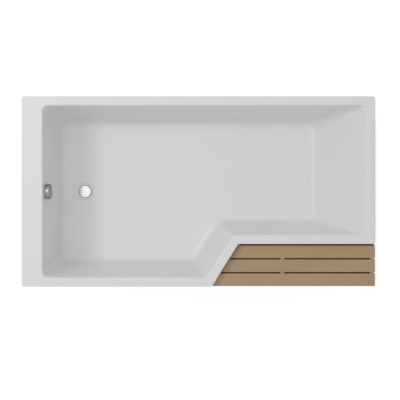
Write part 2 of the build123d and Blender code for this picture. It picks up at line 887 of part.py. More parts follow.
def trap_bend():
    """Shallow trap: down from the waste, round the bend, up and out towards the wall."""
    inner = trap_radius - trap_wall
    route = (
        (waste_place_x, 0, trap_top_z),
        (waste_place_x, 0, trap_low),
        (waste_place_x, trap_reach, trap_low),
        (waste_place_x, trap_reach, trap_outlet_height),
        (waste_place_x, trap_outlet_y, trap_outlet_height),
    )
    trap = swept_tube(route, trap_bend_radius, trap_radius, inner)
    trap += at_waste(trap_top_z - trap_collar) * tube(body_outlet_radius, inner, trap_collar)
    to_wall = Pos(waste_place_x, trap_outlet_y, trap_outlet_height) * Rot(-90, 0, 0)
    trap += to_wall * Pos(0, 0, -outlet_wall) * tube(outlet_bore + outlet_wall, inner, outlet_wall)
    return trap + to_wall * tube(outlet_bore + outlet_wall, outlet_bore, outlet_socket_length)


def outlet_nut():
    """Nut over the open end of the trap's outlet socket."""
    bore = outlet_bore + outlet_wall + running_clearance
    nut = tube(bore + outlet_nut_wall, outlet_bore + soft_clearance, outlet_nut_grip + nut_lip)
    nut -= Pos(0, 0, -overrun) * Cylinder(bore, outlet_nut_grip + overrun, align=on_base)
    start = trap_outlet_y + outlet_socket_length - outlet_nut_grip
    return Pos(waste_place_x, start, trap_outlet_height) * Rot(-90, 0, 0) * nut


def overflow_ring():
    """Plated ring on the tap end wall, with a threaded tail and a spider that carries the knob's spindle."""
    plate = tube(overflow_ring_radius, overflow_tail_bore, overflow_ring_thickness)
    rim = plate.edges().filter_by(GeomType.CIRCLE).sort_by(SortBy.RADIUS)[-2:]
    plate = fillet(rim.sort_by(Axis.Z)[-1], overflow_ring_edge)
    tail_length = sheet + gasket_thickness + overflow_thread
    tail = Pos(0, 0, -tail_length) * tube(overflow_tail_radius, overflow_tail_bore, tail_length)
    arms = spider(
        spider_hub_radius,
        overflow_tail_radius - overrun / 2,
        spider_height,
        spindle_radius + running_clearance,
    )
    return on_overflow(0, 0, 0) * (plate + tail + Pos(0, 0, -spider_height) * arms)


def overflow_gasket():
    """Rubber ring between the back of the tap end wall and the overflow's cup."""
    ring = tube(overflow_seal_radius, overflow_tail_radius + soft_clearance, gasket_thickness)
    return on_overflow(0, 0, seal_back) * ring


def cup_middle():
    """Middle of the cup's space, from which its spigot hangs plumb."""
    low = cup_back + cup_wall
    high = seal_back - overflow_thread
    return (on_overflow(0, 0, (low + high) / 2)).position


def spigot_end_z():
    """Height of the lower end of the cup's spigot."""
    return cup_middle().Z - cup_radius - socket_shoulder - socket_length


def overflow_cup():
    """Cup behind the wall: it takes the water to the pipe and the spindle to the cable drum."""
    to_cup = on_overflow(0, 0, 0)
    cup = to_cup * Pos(0, 0, cup_back) * Cylinder(cup_radius, cup_depth, align=on_base)
    cup += to_cup * Pos(0, 0, seal_back) * Cylinder(
        cup_flange_radius, cup_flange_thickness, align=hanging
    )
    middle = cup_middle()
    drop = middle.Z - spigot_end_z()
    cup += Pos(middle) * Cylinder(pipe_socket_radius, drop, align=hanging)
    drum_box = Cylinder(drum_box_radius, drum_box_depth, align=hanging)
    cup += to_cup * Pos(0, 0, cup_back) * drum_box
    to_cable = on_overflow(0, -drum_groove_radius, drum_place) * Rot(0, -90, 0)
    cup += to_cable * Cylinder(sleeve_radius, drum_box_radius + sleeve_length, align=on_base)
    space = Cylinder(cup_radius - cup_wall, cup_depth - cup_wall - overflow_thread, align=on_base)
    cup -= to_cup * Pos(0, 0, cup_back + cup_wall) * space
    cup -= to_cup * Pos(0, 0, seal_back - overflow_thread - overrun) * Cylinder(
        overflow_tail_radius + running_clearance, overflow_thread + 2 * overrun, align=on_base
    )
    cup -= to_cup * Pos(0, 0, cup_back) * Cylinder(
        drum_box_radius - drum_box_wall, drum_box_depth + overrun, align=hanging
    )
    cup -= Pos(middle) * Cylinder(pipe_radius - pipe_wall, drop + overrun, align=hanging)
    cup -= Pos(middle.X, middle.Y, spigot_end_z() - overrun) * Cylinder(
        pipe_radius + running_clearance, socket_length + overrun, align=on_base
    )
    boss = Cylinder(cup_boss_radius, cup_boss_length, align=on_base)
    cup += to_cup * Pos(0, 0, cup_back + cup_wall) * boss
    cup -= to_cup * Pos(0, 0, cup_back - overrun) * Cylinder(
        spindle_radius + running_clearance, cup_depth, align=on_base
    )
    cable_hole = Cylinder(cable_radius + running_clearance, sleeve_length + overrun, align=on_base)
    cup -= to_cable * Pos(0, 0, drum_box_radius) * cable_hole
    return cup - to_cable * Cylinder(wire_hole_radius, drum_box_radius + overrun, align=on_base)


def overflow_knob():
    """Hollow round knob that turns to raise the plug. Water passes behind its edge."""
    knob = Cylinder(knob_radius, knob_depth, align=on_base)
    front = knob.edges().filter_by(GeomType.CIRCLE).sort_by(Axis.Z)[-1]
    knob = fillet(front, knob_edge_radius)
    hollow = Cylinder(knob_radius - knob_wall, knob_depth - knob_wall, align=on_base)
    hollow_front = hollow.edges().filter_by(GeomType.CIRCLE).sort_by(Axis.Z)[-1]
    knob -= fillet(hollow_front, knob_edge_radius - knob_wall)
    knob += Cylinder(knob_hub_radius, knob_depth - knob_wall, align=on_base)
    knob -= Pos(0, 0, -overrun) * Cylinder(
        spindle_radius + thread_clearance, knob_depth - knob_wall + overrun, align=on_base
    )
    mark = Cylinder(knob_mark_radius, 2 * knob_mark_depth)
    knob -= Pos(0, knob_radius - knob_edge_radius - knob_mark_inset, knob_depth) * mark
    return on_overflow(0, 0, knob_gap) * knob


def knob_spindle():
    """Spindle from the knob through ring and cup to the drum that winds the cable's wire."""
    back = drum_place - drum_thickness / 2
    length = knob_face - knob_wall - thread_clearance - back
    spindle = Pos(0, 0, back) * Cylinder(spindle_radius, length, align=on_base)
    drum = Cylinder(drum_radius, drum_thickness) - tube_gap(drum_radius, drum_groove_radius, drum_groove)
    return on_overflow(0, 0, 0) * (spindle + Pos(0, 0, drum_place) * drum)


def tube_gap(outer, inner, width):
    """Ring to cut a groove of a given width, centred on its own height."""
    return Cylinder(outer + overrun, width) - Cylinder(inner, 2 * width)


def overflow_pipe():
    """Pipe down behind the tap end wall and along to the waste body."""
    middle = cup_middle()
    top = spigot_end_z() + socket_length - soft_clearance
    end = waste_place_x - body_radius - inlet_length + socket_length - soft_clearance
    route = (
        (middle.X, 0, top),
        (middle.X, 0, inlet_z),
        (end, 0, inlet_z),
    )
    return swept_tube(route, pipe_bend_radius, pipe_radius, pipe_radius - pipe_wall)


def pipe_joint_places():
    """Open ends of the two sockets that hold the overflow pipe, facing out of them."""
    middle = cup_middle()
    at_cup = Pos(middle.X, 0, spigot_end_z()) * Rot(180, 0, 0)
    at_body = Pos(waste_place_x - body_radius - inlet_length, 0, inlet_z) * Rot(0, -90, 0)
    return (at_cup, at_body)


def pipe_nuts():
    """Nuts that press the pipe's seals on to both sockets."""
    bore = pipe_socket_radius + running_clearance
    length = pipe_nut_grip + pipe_seal_thickness + nut_lip
    nut = tube(bore + pipe_nut_wall, pipe_radius + running_clearance, length)
    nut -= Pos(0, 0, -overrun) * Cylinder(bore, length - nut_lip + overrun, align=on_base)
    return [place * Pos(0, 0, -pipe_nut_grip) * nut for place in pipe_joint_places()]


def pipe_seals():
    """Rubber rings between the sockets' ends and the nuts' lips."""
    ring = tube(pipe_socket_radius, pipe_radius + running_clearance, pipe_seal_thickness)
    return [place * ring for place in pipe_joint_places()]


def cable_sheath():
    """Sheath of the cable from the drum's box, down behind the tap end and along to the lever's box."""
    low, high, end = lever_box_reach()
    start = on_overflow(-drum_box_radius, -drum_groove_radius, drum_place).position
    route = (
        tuple(start),
        (start.X, -cable_side, start.Z),
        (start.X, -cable_side, crank_z),
        (waste_place_x, -cable_side, crank_z),
        (waste_place_x, end - box_cap_thickness, crank_z),
    )
    return swept_tube(route, cable_bend_radius, cable_radius, 0)


def x_on_step(y, gap):
    """Where a line beside the step's edge, moved outwards by gap, passes a place across the bath."""
    return (step_side.place + gap - step_side.facing.Y * y) / step_side.facing.X


def shelf_strip(gap, rear, front, end, low, high):
    """Board along the shelf whose left end runs beside the step."""
    start_front = (x_on_step(front, gap), front)
    start_rear = (x_on_step(rear, gap), rear)
    face = make_face(Polyline(start_front, (end, front), (end, rear), start_rear, close=True))
    return prism(face, low, high)


def beside_step(near, far, rear, front, low, high):
    """Block between two lines beside the step's edge."""
    face = make_face(
        Polyline(
            (x_on_step(front, near), front),
            (x_on_step(front, far), front),
            (x_on_step(rear, far), rear),
            (x_on_step(rear, near), rear),
            close=True,
        )
    )
    return prism(face, low, high)


def slat_edges(index):
    """Rear and front edge of a slat, counted from the narrow rim."""
    rear = slat_rear_y - index * (slat_width + slat_gap)
    return rear, rear - slat_width


def slat(index):
    """One slat, cut to the step's slant, drilled from below for its screws."""
    rear, front = slat_edges(index)
    board = shelf_strip(slat_step_gap, rear, front, slat_end_x, slat_z, shelf_z)
    top = board.faces().sort_by(Axis.Z)[-1]
    board = fillet(top.edges(), slat_edge_radius)
    for place in slat_screw_places():
        board -= place * wood_screw_cut(slat_screw_length())
    return board


def step_bearer_x(y):
    """Middle of the bearer beside the step, at a place across the shelf."""
    return x_on_step(y, step_bearer_inset + bearer_width / 2)


def bearer_lines():
    """Middle of each bearer along the shelf, as functions of the place across it."""
    return (
        step_bearer_x,
        lambda y: middle_bearer_x,
        lambda y: end_bearer_x,
    )


def slat_screw_length():
    return bearer_height - wood_screw_pocket + wood_screw_bite


def slat_screw_places():
    """Seats of the screws that rise through the bearers into the slats."""
    places = []
    for line in bearer_lines():
        for index in range(slat_count):
            rear, front = slat_edges(index)
            y = (rear + front) / 2
            places.append(Pos(line(y) - wood_screw_stagger, y, bearer_z + wood_screw_pocket))
    return places


def rail_middles():
    """Middle of the shelf's rear and front rail across the shelf."""
    return (rear_rail_y - shelf_rail_width / 2, front_rail_y + shelf_rail_width / 2)


def bearer_screw_length():
    return shelf_rail_height / 2 + wood_screw_bite


def bearer_screw_places():
    """Seats of the screws that rise through the shelf's rails into the bearers."""
    places = []
    for line in bearer_lines():
        for y in rail_middles():
            places.append(Pos(line(y) + wood_screw_stagger, y, shelf_rail_z + shelf_rail_height / 2))
    return places


def wood_screw_cut(length, pocket=0):
    return screw_hole(wood_screw_radius, length, wood_screw_head_radius, pocket)


def wood_screw(length):
    return screw(wood_screw_radius, length, wood_screw_head_radius, wood_screw_head_height)


def drilled_bearer(bearer):
    """Bearer with the screw holes and head pockets of the slats above and the rails below."""
    for place in slat_screw_places():
        bearer -= place * wood_screw_cut(slat_screw_length(), wood_screw_pocket)
    for place in bearer_screw_places():
        bearer -= place * wood_screw_cut(bearer_screw_length())
    return bearer


def bearer_step():
    """Bearer beside the step, along its slant."""
    near = step_bearer_inset
    far = near + bearer_width
    return drilled_bearer(beside_step(near, far, bearer_rear_y, bearer_front_y, bearer_z, slat_z))


def straight_bearer(x):
    """Bearer straight across the shelf."""
    low = (x - bearer_width / 2, bearer_front_y, bearer_z)
    high = (x + bearer_width / 2, bearer_rear_y, slat_z)
    return drilled_bearer(box_between(low, high))


def gap_strips():
    """Strips glued under the slats, which back each gap beside and between the bearers."""
    strips = []
    low = slat_z - gap_strip_height
    half = bearer_width / 2 + gap_strip_clearance
    for index in range(slat_count - 1):
        middle = slat_edges(index)[1] - slat_gap / 2
        rear = middle + gap_strip_width / 2
        front = middle - gap_strip_width / 2
        near = slat_step_gap + gap_strip_clearance
        far = step_bearer_inset - gap_strip_clearance
        strips.append(beside_step(near, far, rear, front, low, slat_z))
        start = step_bearer_inset + bearer_width + gap_strip_clearance
        strips.append(shelf_strip(start, rear, front, middle_bearer_x - half, low, slat_z))
        west = (middle_bearer_x + half, front, low)
        strips.append(box_between(west, (end_bearer_x - half, rear, slat_z)))
    return strips


def slat_spacers():
    """Blocks between the slats over the middle and the end bearer, and the strips under the gaps."""
    blocks = gap_strips()
    for x in (middle_bearer_x, end_bearer_x):
        for index in range(slat_count - 1):
            front = slat_edges(index)[1]
            low = (x - bearer_width / 2, front - slat_gap, slat_z)
            high = (x + bearer_width / 2, front, shelf_z - spacer_drop)
            blocks.append(box_between(low, high))
    return blocks


def leg_xs():
    """Left faces of the two legs. The left one clears the step."""
    rear = front_rail_y + shelf_rail_width + leg_side
    left = x_on_step(rear, slat_step_gap) + leg_end_inset
    right = head_end_x - leg_end_inset - leg_side
    return (left, right)


def shelf_rail(rear, front):
    """Timber under the bearers from the step to the head end."""
    start = step_bearer_inset - bearer_setback
    return shelf_strip(start, rear, front, head_end_x, shelf_rail_z, bearer_z)


def drilled_rail(rail, bracketed):
    """Shelf rail with the cuts for the screws that pass it."""
    for place in bearer_screw_places():
        rail -= place * wood_screw_cut(bearer_screw_length(), shelf_rail_height / 2)
    if bracketed:
        for place in bracket_rail_screws():
            rail -= place * wood_screw_cut(bracket_sheet + wood_screw_bite)
    else:
        for place in leg_screw_places():
            rail -= place * wood_screw_cut(leg_screw_length(), wood_screw_pocket / 2)
    return rail


def shelf_rail_rear():
    """Rail under the bearers beside the narrow rim, hung on the brackets."""
    return drilled_rail(shelf_rail(rear_rail_y, rear_rail_y - shelf_rail_width), True)


def shelf_rail_front():
    """Rail under the bearers along the shelf's front, screwed to the legs."""
    return drilled_rail(shelf_rail(front_rail_y + shelf_rail_width, front_rail_y), False)


def leg_screw_length():
    return shelf_rail_width - wood_screw_pocket / 2 + wood_screw_bite


def leg_screw_places():
    """Seats of the screws from the front rail into the legs."""
    places = []
    y = front_rail_y + wood_screw_pocket / 2
    for x in leg_xs():
        for side in (-1, 1):
            middle = x + leg_side / 2 + side * leg_screw_spacing / 2
            height = (shelf_rail_z + bearer_z) / 2 + side * shelf_rail_height / 4
            places.append(Pos(middle, y, height) * Rot(-90, 0, 0))
    return places


def stretcher_screw_length():
    return leg_side - wood_screw_pocket + wood_screw_bite


def stretcher_screw_places():
    """Seats of the screws through the legs into the stretcher's ends."""
    left, right = leg_xs()
    y = front_rail_y + shelf_rail_width + leg_side / 2
    z = stretcher_level + stretcher_height / 2
    return (
        Pos(left + wood_screw_pocket, y, z) * Rot(0, 90, 0),
        Pos(right + leg_side - wood_screw_pocket, y, z) * Rot(0, -90, 0),
    )


def shelf_leg(index):
    """Square leg behind the front rail, from its glide up to the bearers' underside."""
    x = leg_xs()[index]
    low_y = front_rail_y + shelf_rail_width
    leg = box_between((x, low_y, glide_height), (x + leg_side, low_y + leg_side, bearer_z))
    for place in leg_screw_places():
        leg -= place * wood_screw_cut(leg_screw_length())
    for place in stretcher_screw_places():
        leg -= place * wood_screw_cut(stretcher_screw_length(), wood_screw_pocket)
    nail_hole = Cylinder(
        glide_nail_radius + thread_clearance, glide_nail_length + soft_clearance, align=on_base
    )
    return leg - glide_place(index) * Pos(0, 0, glide_height - soft_clearance) * nail_hole


def glide_place(index):
    x = leg_xs()[index] + leg_side / 2
    return Pos(x, front_rail_y + shelf_rail_width + leg_side / 2, 0)


def leg_glides():
    """Nailed glides under the legs."""
    glide = Cylinder(glide_radius, glide_height, align=on_base)
    glide += Pos(0, 0, glide_height) * Cylinder(
        glide_nail_radius, glide_nail_length - soft_clearance, align=on_base
    )
    return [glide_place(index) * glide for index in range(len(leg_xs()))]


def stretcher():
    """Low board between the legs."""
    left, right = leg_xs()
    y = front_rail_y + shelf_rail_width + (leg_side - stretcher_width) / 2
    board = box_between(
        (left + leg_side, y, stretcher_level),
        (right, y + stretcher_width, stretcher_level + stretcher_height),
    )
    for place in stretcher_screw_places():
        board -= place * wood_screw_cut(stretcher_screw_length())
    return board


def bracket_face_y():
    """Rear face of the brackets' hanging leg."""
    return rear_rail_y + bracket_sheet


def bracket_screw_xs():
    """Places of the brackets' screws along the rim: one near each end of each bracket."""
    return [
        start + inset
        for start in bracket_starts
        for inset in (bracket_screw_end, bracket_length - bracket_screw_end)
    ]


def bracket_batten_screws():
    """Seats of the screws from the brackets up into the batten under the narrow rim."""
    y = narrow_y + batten_inset + batten_width / 2
    return [Pos(x, y, lip_z - bracket_sheet) for x in bracket_screw_xs()]


def bracket_rail_screws():
    """Seats of the screws from the brackets into the shelf's rear rail."""
    z = lip_z - bracket_drop + bracket_screw_inset
    return [Pos(x, bracket_face_y(), z) * Rot(90, 0, 0) for x in bracket_screw_xs()]


def shelf_brackets():
    """Steel angles: one leg under the narrow rim's batten, the other down the rear rail."""
    inner_y = narrow_y + batten_inset + batten_width
    angles = []
    for west in bracket_starts:
        east = west + bracket_length
        angle = box_between((west, rear_rail_y, lip_z - bracket_sheet), (east, inner_y, lip_z))
        angle += box_between((west, rear_rail_y, lip_z - bracket_drop), (east, bracket_face_y(), lip_z))
        for seat in bracket_batten_screws() + bracket_rail_screws():
            angle -= seat * wood_screw_cut(bracket_sheet)
        angles.append(angle)
    return angles


def shelf_screws():
    """Every wood screw of the shelf."""
    runs = (
        (slat_screw_places(), slat_screw_length()),
        (bearer_screw_places(), bearer_screw_length()),
        (leg_screw_places(), leg_screw_length()),
        (stretcher_screw_places(), stretcher_screw_length()),
        (bracket_batten_screws(), bracket_sheet + wood_screw_bite),
        (bracket_rail_screws(), bracket_sheet + wood_screw_bite),
    )
    return [place * wood_screw(length) for places, length in runs for place in places]


def pieces():
    """Every piece by its name. A list is a group of separate solids under one name."""
    made = {
        "tub_shell": tub_shell(),
        "glass_fibre_coat": glass_fibre_coat(),
        "base_board": base_board(),
        "tap_deck_board": rim_timber(0, deck_board_thickness),
        "rim_battens": rim_battens(),
        "rail_screws": rail_screws(),
        "foot_nuts": foot_nuts(),
        "wall_clips": wall_clips(),
        "waste_flange": waste_flange(),
        "waste_gasket": waste_gasket(),
        "waste_body": waste_body(),
        "plug_cap": plug_cap(),
        "plug_seal": plug_seal(),
        "plug_stem": plug_stem(),
        "lift_lever": lift_lever(),
        "lever_pin": lever_pin(),
        "lever_box_cap": lever_box_cap(),
        "trap_nut": trap_nut(),
        "trap_washer": trap_washer(),
        "trap_bend": trap_bend(),
        "outlet_nut": outlet_nut(),
        "overflow_ring": overflow_ring(),
        "overflow_gasket": overflow_gasket(),
        "overflow_cup": overflow_cup(),
        "overflow_knob": overflow_knob(),
        "knob_spindle": knob_spindle(),
        "overflow_pipe": overflow_pipe(),
        "pipe_nuts": pipe_nuts(),
        "pipe_seals": pipe_seals(),
        "cable_sheath": cable_sheath(),
        "slat_spacers": slat_spacers(),
        "bearer_step": bearer_step(),
        "bearer_middle": straight_bearer(middle_bearer_x),
        "bearer_end": straight_bearer(end_bearer_x),
        "shelf_rail_rear": shelf_rail_rear(),
        "shelf_rail_front": shelf_rail_front(),
        "shelf_leg_left": shelf_leg(0),
        "shelf_leg_right": shelf_leg(1),
        "leg_glides": leg_glides(),
        "stretcher": stretcher(),
        "shelf_brackets": shelf_brackets(),
        "shelf_screws": shelf_screws(),
    }
    for index in range(slat_count):
        made[f"slat_{index + 1}"] = slat(index)
    foot = 0
    for name, rail in zip(rail_names, rails()):
        made[f"rail_{name}"] = rail.solid()
        for x, y in rail.foot_places():
            foot += 1
            made[f"foot_stud_{foot}"] = foot_stud(x, y, rail)
            made[f"foot_pad_{foot}"] = foot_pad(x, y)
    return made


def main():
    os.makedirs("parts", exist_ok=True)
    for name, piece in pieces().items():
        if isinstance(piece, list):
            piece = Compound(children=piece)
        export_step(piece, f"parts/{name}.step")


main()
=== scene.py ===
"""Shower bath with a slatted wooden shelf: its finishes, its turned and eased details, and a studio."""
import json
import math
import random

import bmesh
import bpy
from bpy.props import FloatProperty, FloatVectorProperty, IntProperty, PointerProperty
from bpy.types import Operator, Panel, PropertyGroup
from mathutils import Euler, Matrix, Vector

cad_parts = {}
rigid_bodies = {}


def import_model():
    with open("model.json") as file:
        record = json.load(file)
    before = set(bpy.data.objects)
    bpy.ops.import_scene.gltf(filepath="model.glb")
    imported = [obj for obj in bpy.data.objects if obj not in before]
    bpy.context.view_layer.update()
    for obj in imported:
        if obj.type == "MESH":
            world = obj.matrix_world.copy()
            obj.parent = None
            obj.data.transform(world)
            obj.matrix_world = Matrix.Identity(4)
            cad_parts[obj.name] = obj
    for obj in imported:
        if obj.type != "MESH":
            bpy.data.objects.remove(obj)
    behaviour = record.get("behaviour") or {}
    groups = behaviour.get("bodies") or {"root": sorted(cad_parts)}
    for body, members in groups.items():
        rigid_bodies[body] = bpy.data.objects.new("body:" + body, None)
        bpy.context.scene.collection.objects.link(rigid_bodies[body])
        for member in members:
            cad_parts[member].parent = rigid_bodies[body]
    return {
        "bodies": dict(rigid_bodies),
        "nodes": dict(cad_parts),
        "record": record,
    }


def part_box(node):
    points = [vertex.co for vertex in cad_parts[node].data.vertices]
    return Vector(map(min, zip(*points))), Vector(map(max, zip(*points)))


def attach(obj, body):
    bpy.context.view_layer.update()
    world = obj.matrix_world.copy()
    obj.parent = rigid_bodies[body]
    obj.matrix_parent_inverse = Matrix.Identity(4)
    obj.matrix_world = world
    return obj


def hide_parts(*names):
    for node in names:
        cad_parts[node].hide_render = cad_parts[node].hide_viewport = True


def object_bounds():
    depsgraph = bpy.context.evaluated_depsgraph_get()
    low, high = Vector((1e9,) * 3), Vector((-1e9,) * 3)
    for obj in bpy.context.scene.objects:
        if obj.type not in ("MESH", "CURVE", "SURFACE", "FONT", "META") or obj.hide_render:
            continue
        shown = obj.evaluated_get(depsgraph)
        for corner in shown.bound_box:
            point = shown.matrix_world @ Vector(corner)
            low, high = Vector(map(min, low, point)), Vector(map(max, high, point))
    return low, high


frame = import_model()
cad_low, cad_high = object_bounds()
nodes = frame["nodes"]

bl_info = {
    "name": "Shower bath",
    "version": (1, 0, 0),
    "blender": (4, 5, 0),
    "location": "3D View > Sidebar > Bath",
    "description": "Finishes a shower bath, its fittings and its slatted shelf",
    "category": "Object",
}

MM = 0.001

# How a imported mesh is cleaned, eased and shaded
MERGE_REACH = MM / 200
FLAT_ANGLE = math.radians(0.8)
EASED_ANGLE = math.radians(50)
SHADING_ANGLE = math.radians(32)
SHORTEST_EASED_EDGE = 12 * MM
SHEET_EASE = 0.7 * MM

# Where a board lies in its log: along it, beside its heart and above it. Each timber has its own seed
ALONG_LOG = (-2, 2)
BESIDE_HEART = (0.09, 0.18)
ABOVE_HEART = (0.03, 0.1)
BATTEN_SEED = 11
TEAK_SEED = 40

# Screws of the rails and of the shelf
SCREW_HEAD_HEIGHT = 2.5 * MM
RAIL_SCREW_RADIUS = 2.25 * MM
SHELF_SCREW_RADIUS = 2 * MM
SCREW_THREAD_SHARE = 0.6

# Nuts: the bore's clearance round a stud and the turn from one nut to the next, then a plastic
# nut's edge, the shares of its height between which it is ribbed, and how far off the ribs start
NUT_CLEARANCE = 0.08 * MM
NUT_TURN = 0.3
NUT_EDGE = 0.9 * MM
GRIP_SHARES = (0.2, 0.8)
GRIP_ROOM = MM / 10


def colour(name, description, value):
    """A colour that the sidebar shows."""
    return FloatVectorProperty(
        name=name, description=description, default=value, subtype="COLOR", size=3, min=0, max=1
    )


def number(name, description, value, unit="LENGTH"):
    """A number that the sidebar shows, in metres unless another unit is named."""
    return FloatProperty(name=name, description=description, default=value, min=0, unit=unit)


def position(name, description, value):
    """A place in metres that the sidebar shows."""
    return FloatVectorProperty(
        name=name, description=description, default=value, subtype="TRANSLATION", unit="LENGTH"
    )


class BathLook(PropertyGroup):
    """Colours of the bath and its timber."""

    acrylic: colour("Acrylic", "Cast white sheet", (0.86, 0.86, 0.855))
    acrylic_shade: colour("Acrylic shade", "Where the sheet is a little thinner", (0.845, 0.845, 0.84))
    resin: colour("Resin", "Resin of the sprayed coat", (0.60, 0.57, 0.45))
    strands: colour("Strands", "Chopped glass in the coat", (0.80, 0.78, 0.69))
    chip_light: colour("Chip, light", "Palest chips of the boards", (0.62, 0.47, 0.29))
    chip_dark: colour("Chip, dark", "Darkest chips of the boards", (0.33, 0.21, 0.11))
    softwood_light: colour("Softwood, light", "Early wood of the battens", (0.70, 0.52, 0.31))
    softwood_dark: colour("Softwood, dark", "Late wood of the battens", (0.52, 0.33, 0.16))


class ShelfLook(PropertyGroup):
    """Colours and grain of the shelf's teak."""

    light: colour("Light", "Palest bands of the grain", (0.50, 0.345, 0.205))
    dark: colour("Dark", "Darkest bands of the grain", (0.42, 0.28, 0.16))
    pore: colour("Pore", "Open pores", (0.20, 0.125, 0.075))
    # Painted shade: a dark colour for the bearers and the strips under the gaps between the slats, where
    # shade falls
    painted_shade: colour("Painted_shade", "Dark stain of the bearers and of the strips under gaps", (0.11, 0.07, 0.04))
    ring: number("Ring", "Distance between two growth rings", 0.0045)
    edge: number("Eased edge", "Width of the eased edges", 0.0009)


class FittingSizes(PropertyGroup):
    """Sizes of the fastenings' details."""

    stud_pitch: number("Stud pitch", "Distance from one turn of a stud's thread to the next", 0.0015)
    screw_pitch: number("Screw pitch", "Distance from one turn of a screw's thread to the next", 0.0018)
    thread_depth: number("Thread depth", "Depth of a thread under its crest", 0.0008)
    recess_depth: number("Recess depth", "Depth of the cross in a screw's head", 0.0014)
    grip_ribs: IntProperty(name="Grip ribs", description="Ribs round a plastic nut", default=28, min=3)
    grip_depth: number("Grip depth", "Depth of the grooves between a nut's ribs", 0.0011)
    cap_edge: number("Cap edge", "Height of the cap's upright edge", 0.004)
    cap_rise: number("Cap height", "Height of the cap in its middle", 0.007)
    cap_lip: number("Cap lip", "Width of the rubber that shows round the cap", 0.003)


class StudioSettings(PropertyGroup):
    """Camera, lamps and sky."""

    camera_height: number("Camera height", "Height of the camera over the rim", 6.0)
    picture_width: number("Picture width", "Width of the picture at the rim", 1.9216)
    lamp_size: number("Lamp size", "Side of each soft lamp", 1.0)
    side_power: number("Side lamp", "Power of the lamp beyond the tap end", 44, "POWER")
    side_place: position("Side lamp's place", "Where it hangs, over the middle of the rim", (-2.9, 1.0, 4.2))
    near_power: number("Near lamp", "Power of the lamp over the tap end", 24, "POWER")
    near_place: position("Near lamp's place", "Where it hangs, over the middle of the rim", (-1.2, 0.9, 4.2))
    sky: number("Sky", "Light from all around", 0.515, "NONE")


def settings(group):
    """One of the property groups on the scene."""
    return getattr(bpy.context.scene, "bath_" + group)


def add_node(tree, kind, inputs=None, **options):
    """Adds a node. Each input is a plain value or the output of another node."""
    node = tree.nodes.new(kind)
    for name, value in options.items():
        setattr(node, name, value)
    for key, value in (inputs or {}).items():
        if isinstance(value, bpy.types.NodeSocket):
            tree.links.new(value, node.inputs[key])
        else:
            node.inputs[key].default_value = value
    return node


def result_of(tree, kind, inputs=None, **options):
    """Adds a node and gives its first output."""
    return add_node(tree, kind, inputs, **options).outputs[0]


def math_node(tree, operation, first, second=0.0):
    """The result of a sum, a product or another operation on two numbers."""
    return result_of(tree, "ShaderNodeMath", {0: first, 1: second}, operation=operation)


def vector_node(tree, **parts):
    """A vector made of its parts. A part that isn't given is zero."""
    return result_of(tree, "ShaderNodeCombineXYZ", parts)


class Finish:
    """A material under way. Its patterns read the surface's place in metres, or a grain attribute."""

    def __init__(self, name, grain=False):
        self.material = bpy.data.materials.new(name)
        self.material.use_nodes = True
        self.tree = self.material.node_tree
        self.shader = self.tree.nodes["Principled BSDF"]
        if grain:
            self.place = self.add("ShaderNodeAttribute", attribute_name="grain").outputs["Vector"]
        else:
            self.place = self.add("ShaderNodeTexCoord").outputs["Object"]

    def add(self, kind, inputs=None, **options):
        """Adds a node to the material."""
        return add_node(self.tree, kind, inputs, **options)

    def marks(self, size, turn=(0, 0, 0)):
        """The place measured in marks: size is a mark's length, width and height in metres."""
        return self.add(
            "ShaderNodeMapping",
            {"Vector": self.place, "Rotation": turn, "Scale": size},
            vector_type="TEXTURE",
        ).outputs["Vector"]

    def noise(self, scale, detail=2.0, roughness=0.5, place=None):
        """Soft clouds between 0 and 1."""
        return self.add(
            "ShaderNodeTexNoise",
            {"Vector": place or self.place, "Scale": scale, "Detail": detail, "Roughness": roughness},
        ).outputs["Fac"]

    def cells(self, scale, place=None):
        """Cells with a random colour each."""
        return self.add(
            "ShaderNodeTexVoronoi", {"Vector": place or self.place, "Scale": scale}
        ).outputs["Color"]

    def spread(self, value, low, high, to_low=0.0, to_high=1.0):
        """Value between low and high, moved to another range and held inside it."""
        return self.add(
            "ShaderNodeMapRange",
            {"Value": value, "From Min": low, "From Max": high, "To Min": to_low, "To Max": to_high},
        ).outputs["Result"]

    def blend(self, share, low, high):
        """Colour between two colours."""
        return self.add(
            "ShaderNodeMix", {0: share, 6: rgba(low), 7: rgba(high)}, data_type="RGBA"
        ).outputs[2]

    def reckon(self, operation, first, second):
        """The result of an operation on two numbers."""
        return math_node(self.tree, operation, first, second)

    def bump(self, height, depth, strength):
        """Relief of the given depth in metres."""
        normal = self.add(
            "ShaderNodeBump", {"Height": height, "Distance": depth, "Strength": strength}
        )
        self.set({"Normal": normal.outputs["Normal"]})

    def set(self, values):
        """Sets the shader's sockets to plain values or links them."""
        for name, value in values.items():
            socket = self.shader.inputs[name]
            if isinstance(value, bpy.types.NodeSocket):
                self.tree.links.new(value, socket)
            else:
                socket.default_value = value


def rgba(value):
    """A colour with its alpha, or the output that gives one."""
    return value if isinstance(value, bpy.types.NodeSocket) else (*value, 1.0)


def white_acrylic():
    """Cast sheet: glossy white with the faint waves of forming."""
    look = settings("look")
    made = Finish("white_acrylic")
    made.set({"Base Color": made.blend(made.noise(2.4), look.acrylic_shade, look.acrylic)})
    made.set({"Roughness": made.spread(made.noise(9.0, 3.0), 0.3, 0.7, 0.35, 0.38), "IOR": 1.49})
    made.bump(made.noise(5.0, 1.0), 0.4 * MM, 0.4)
    return made.material


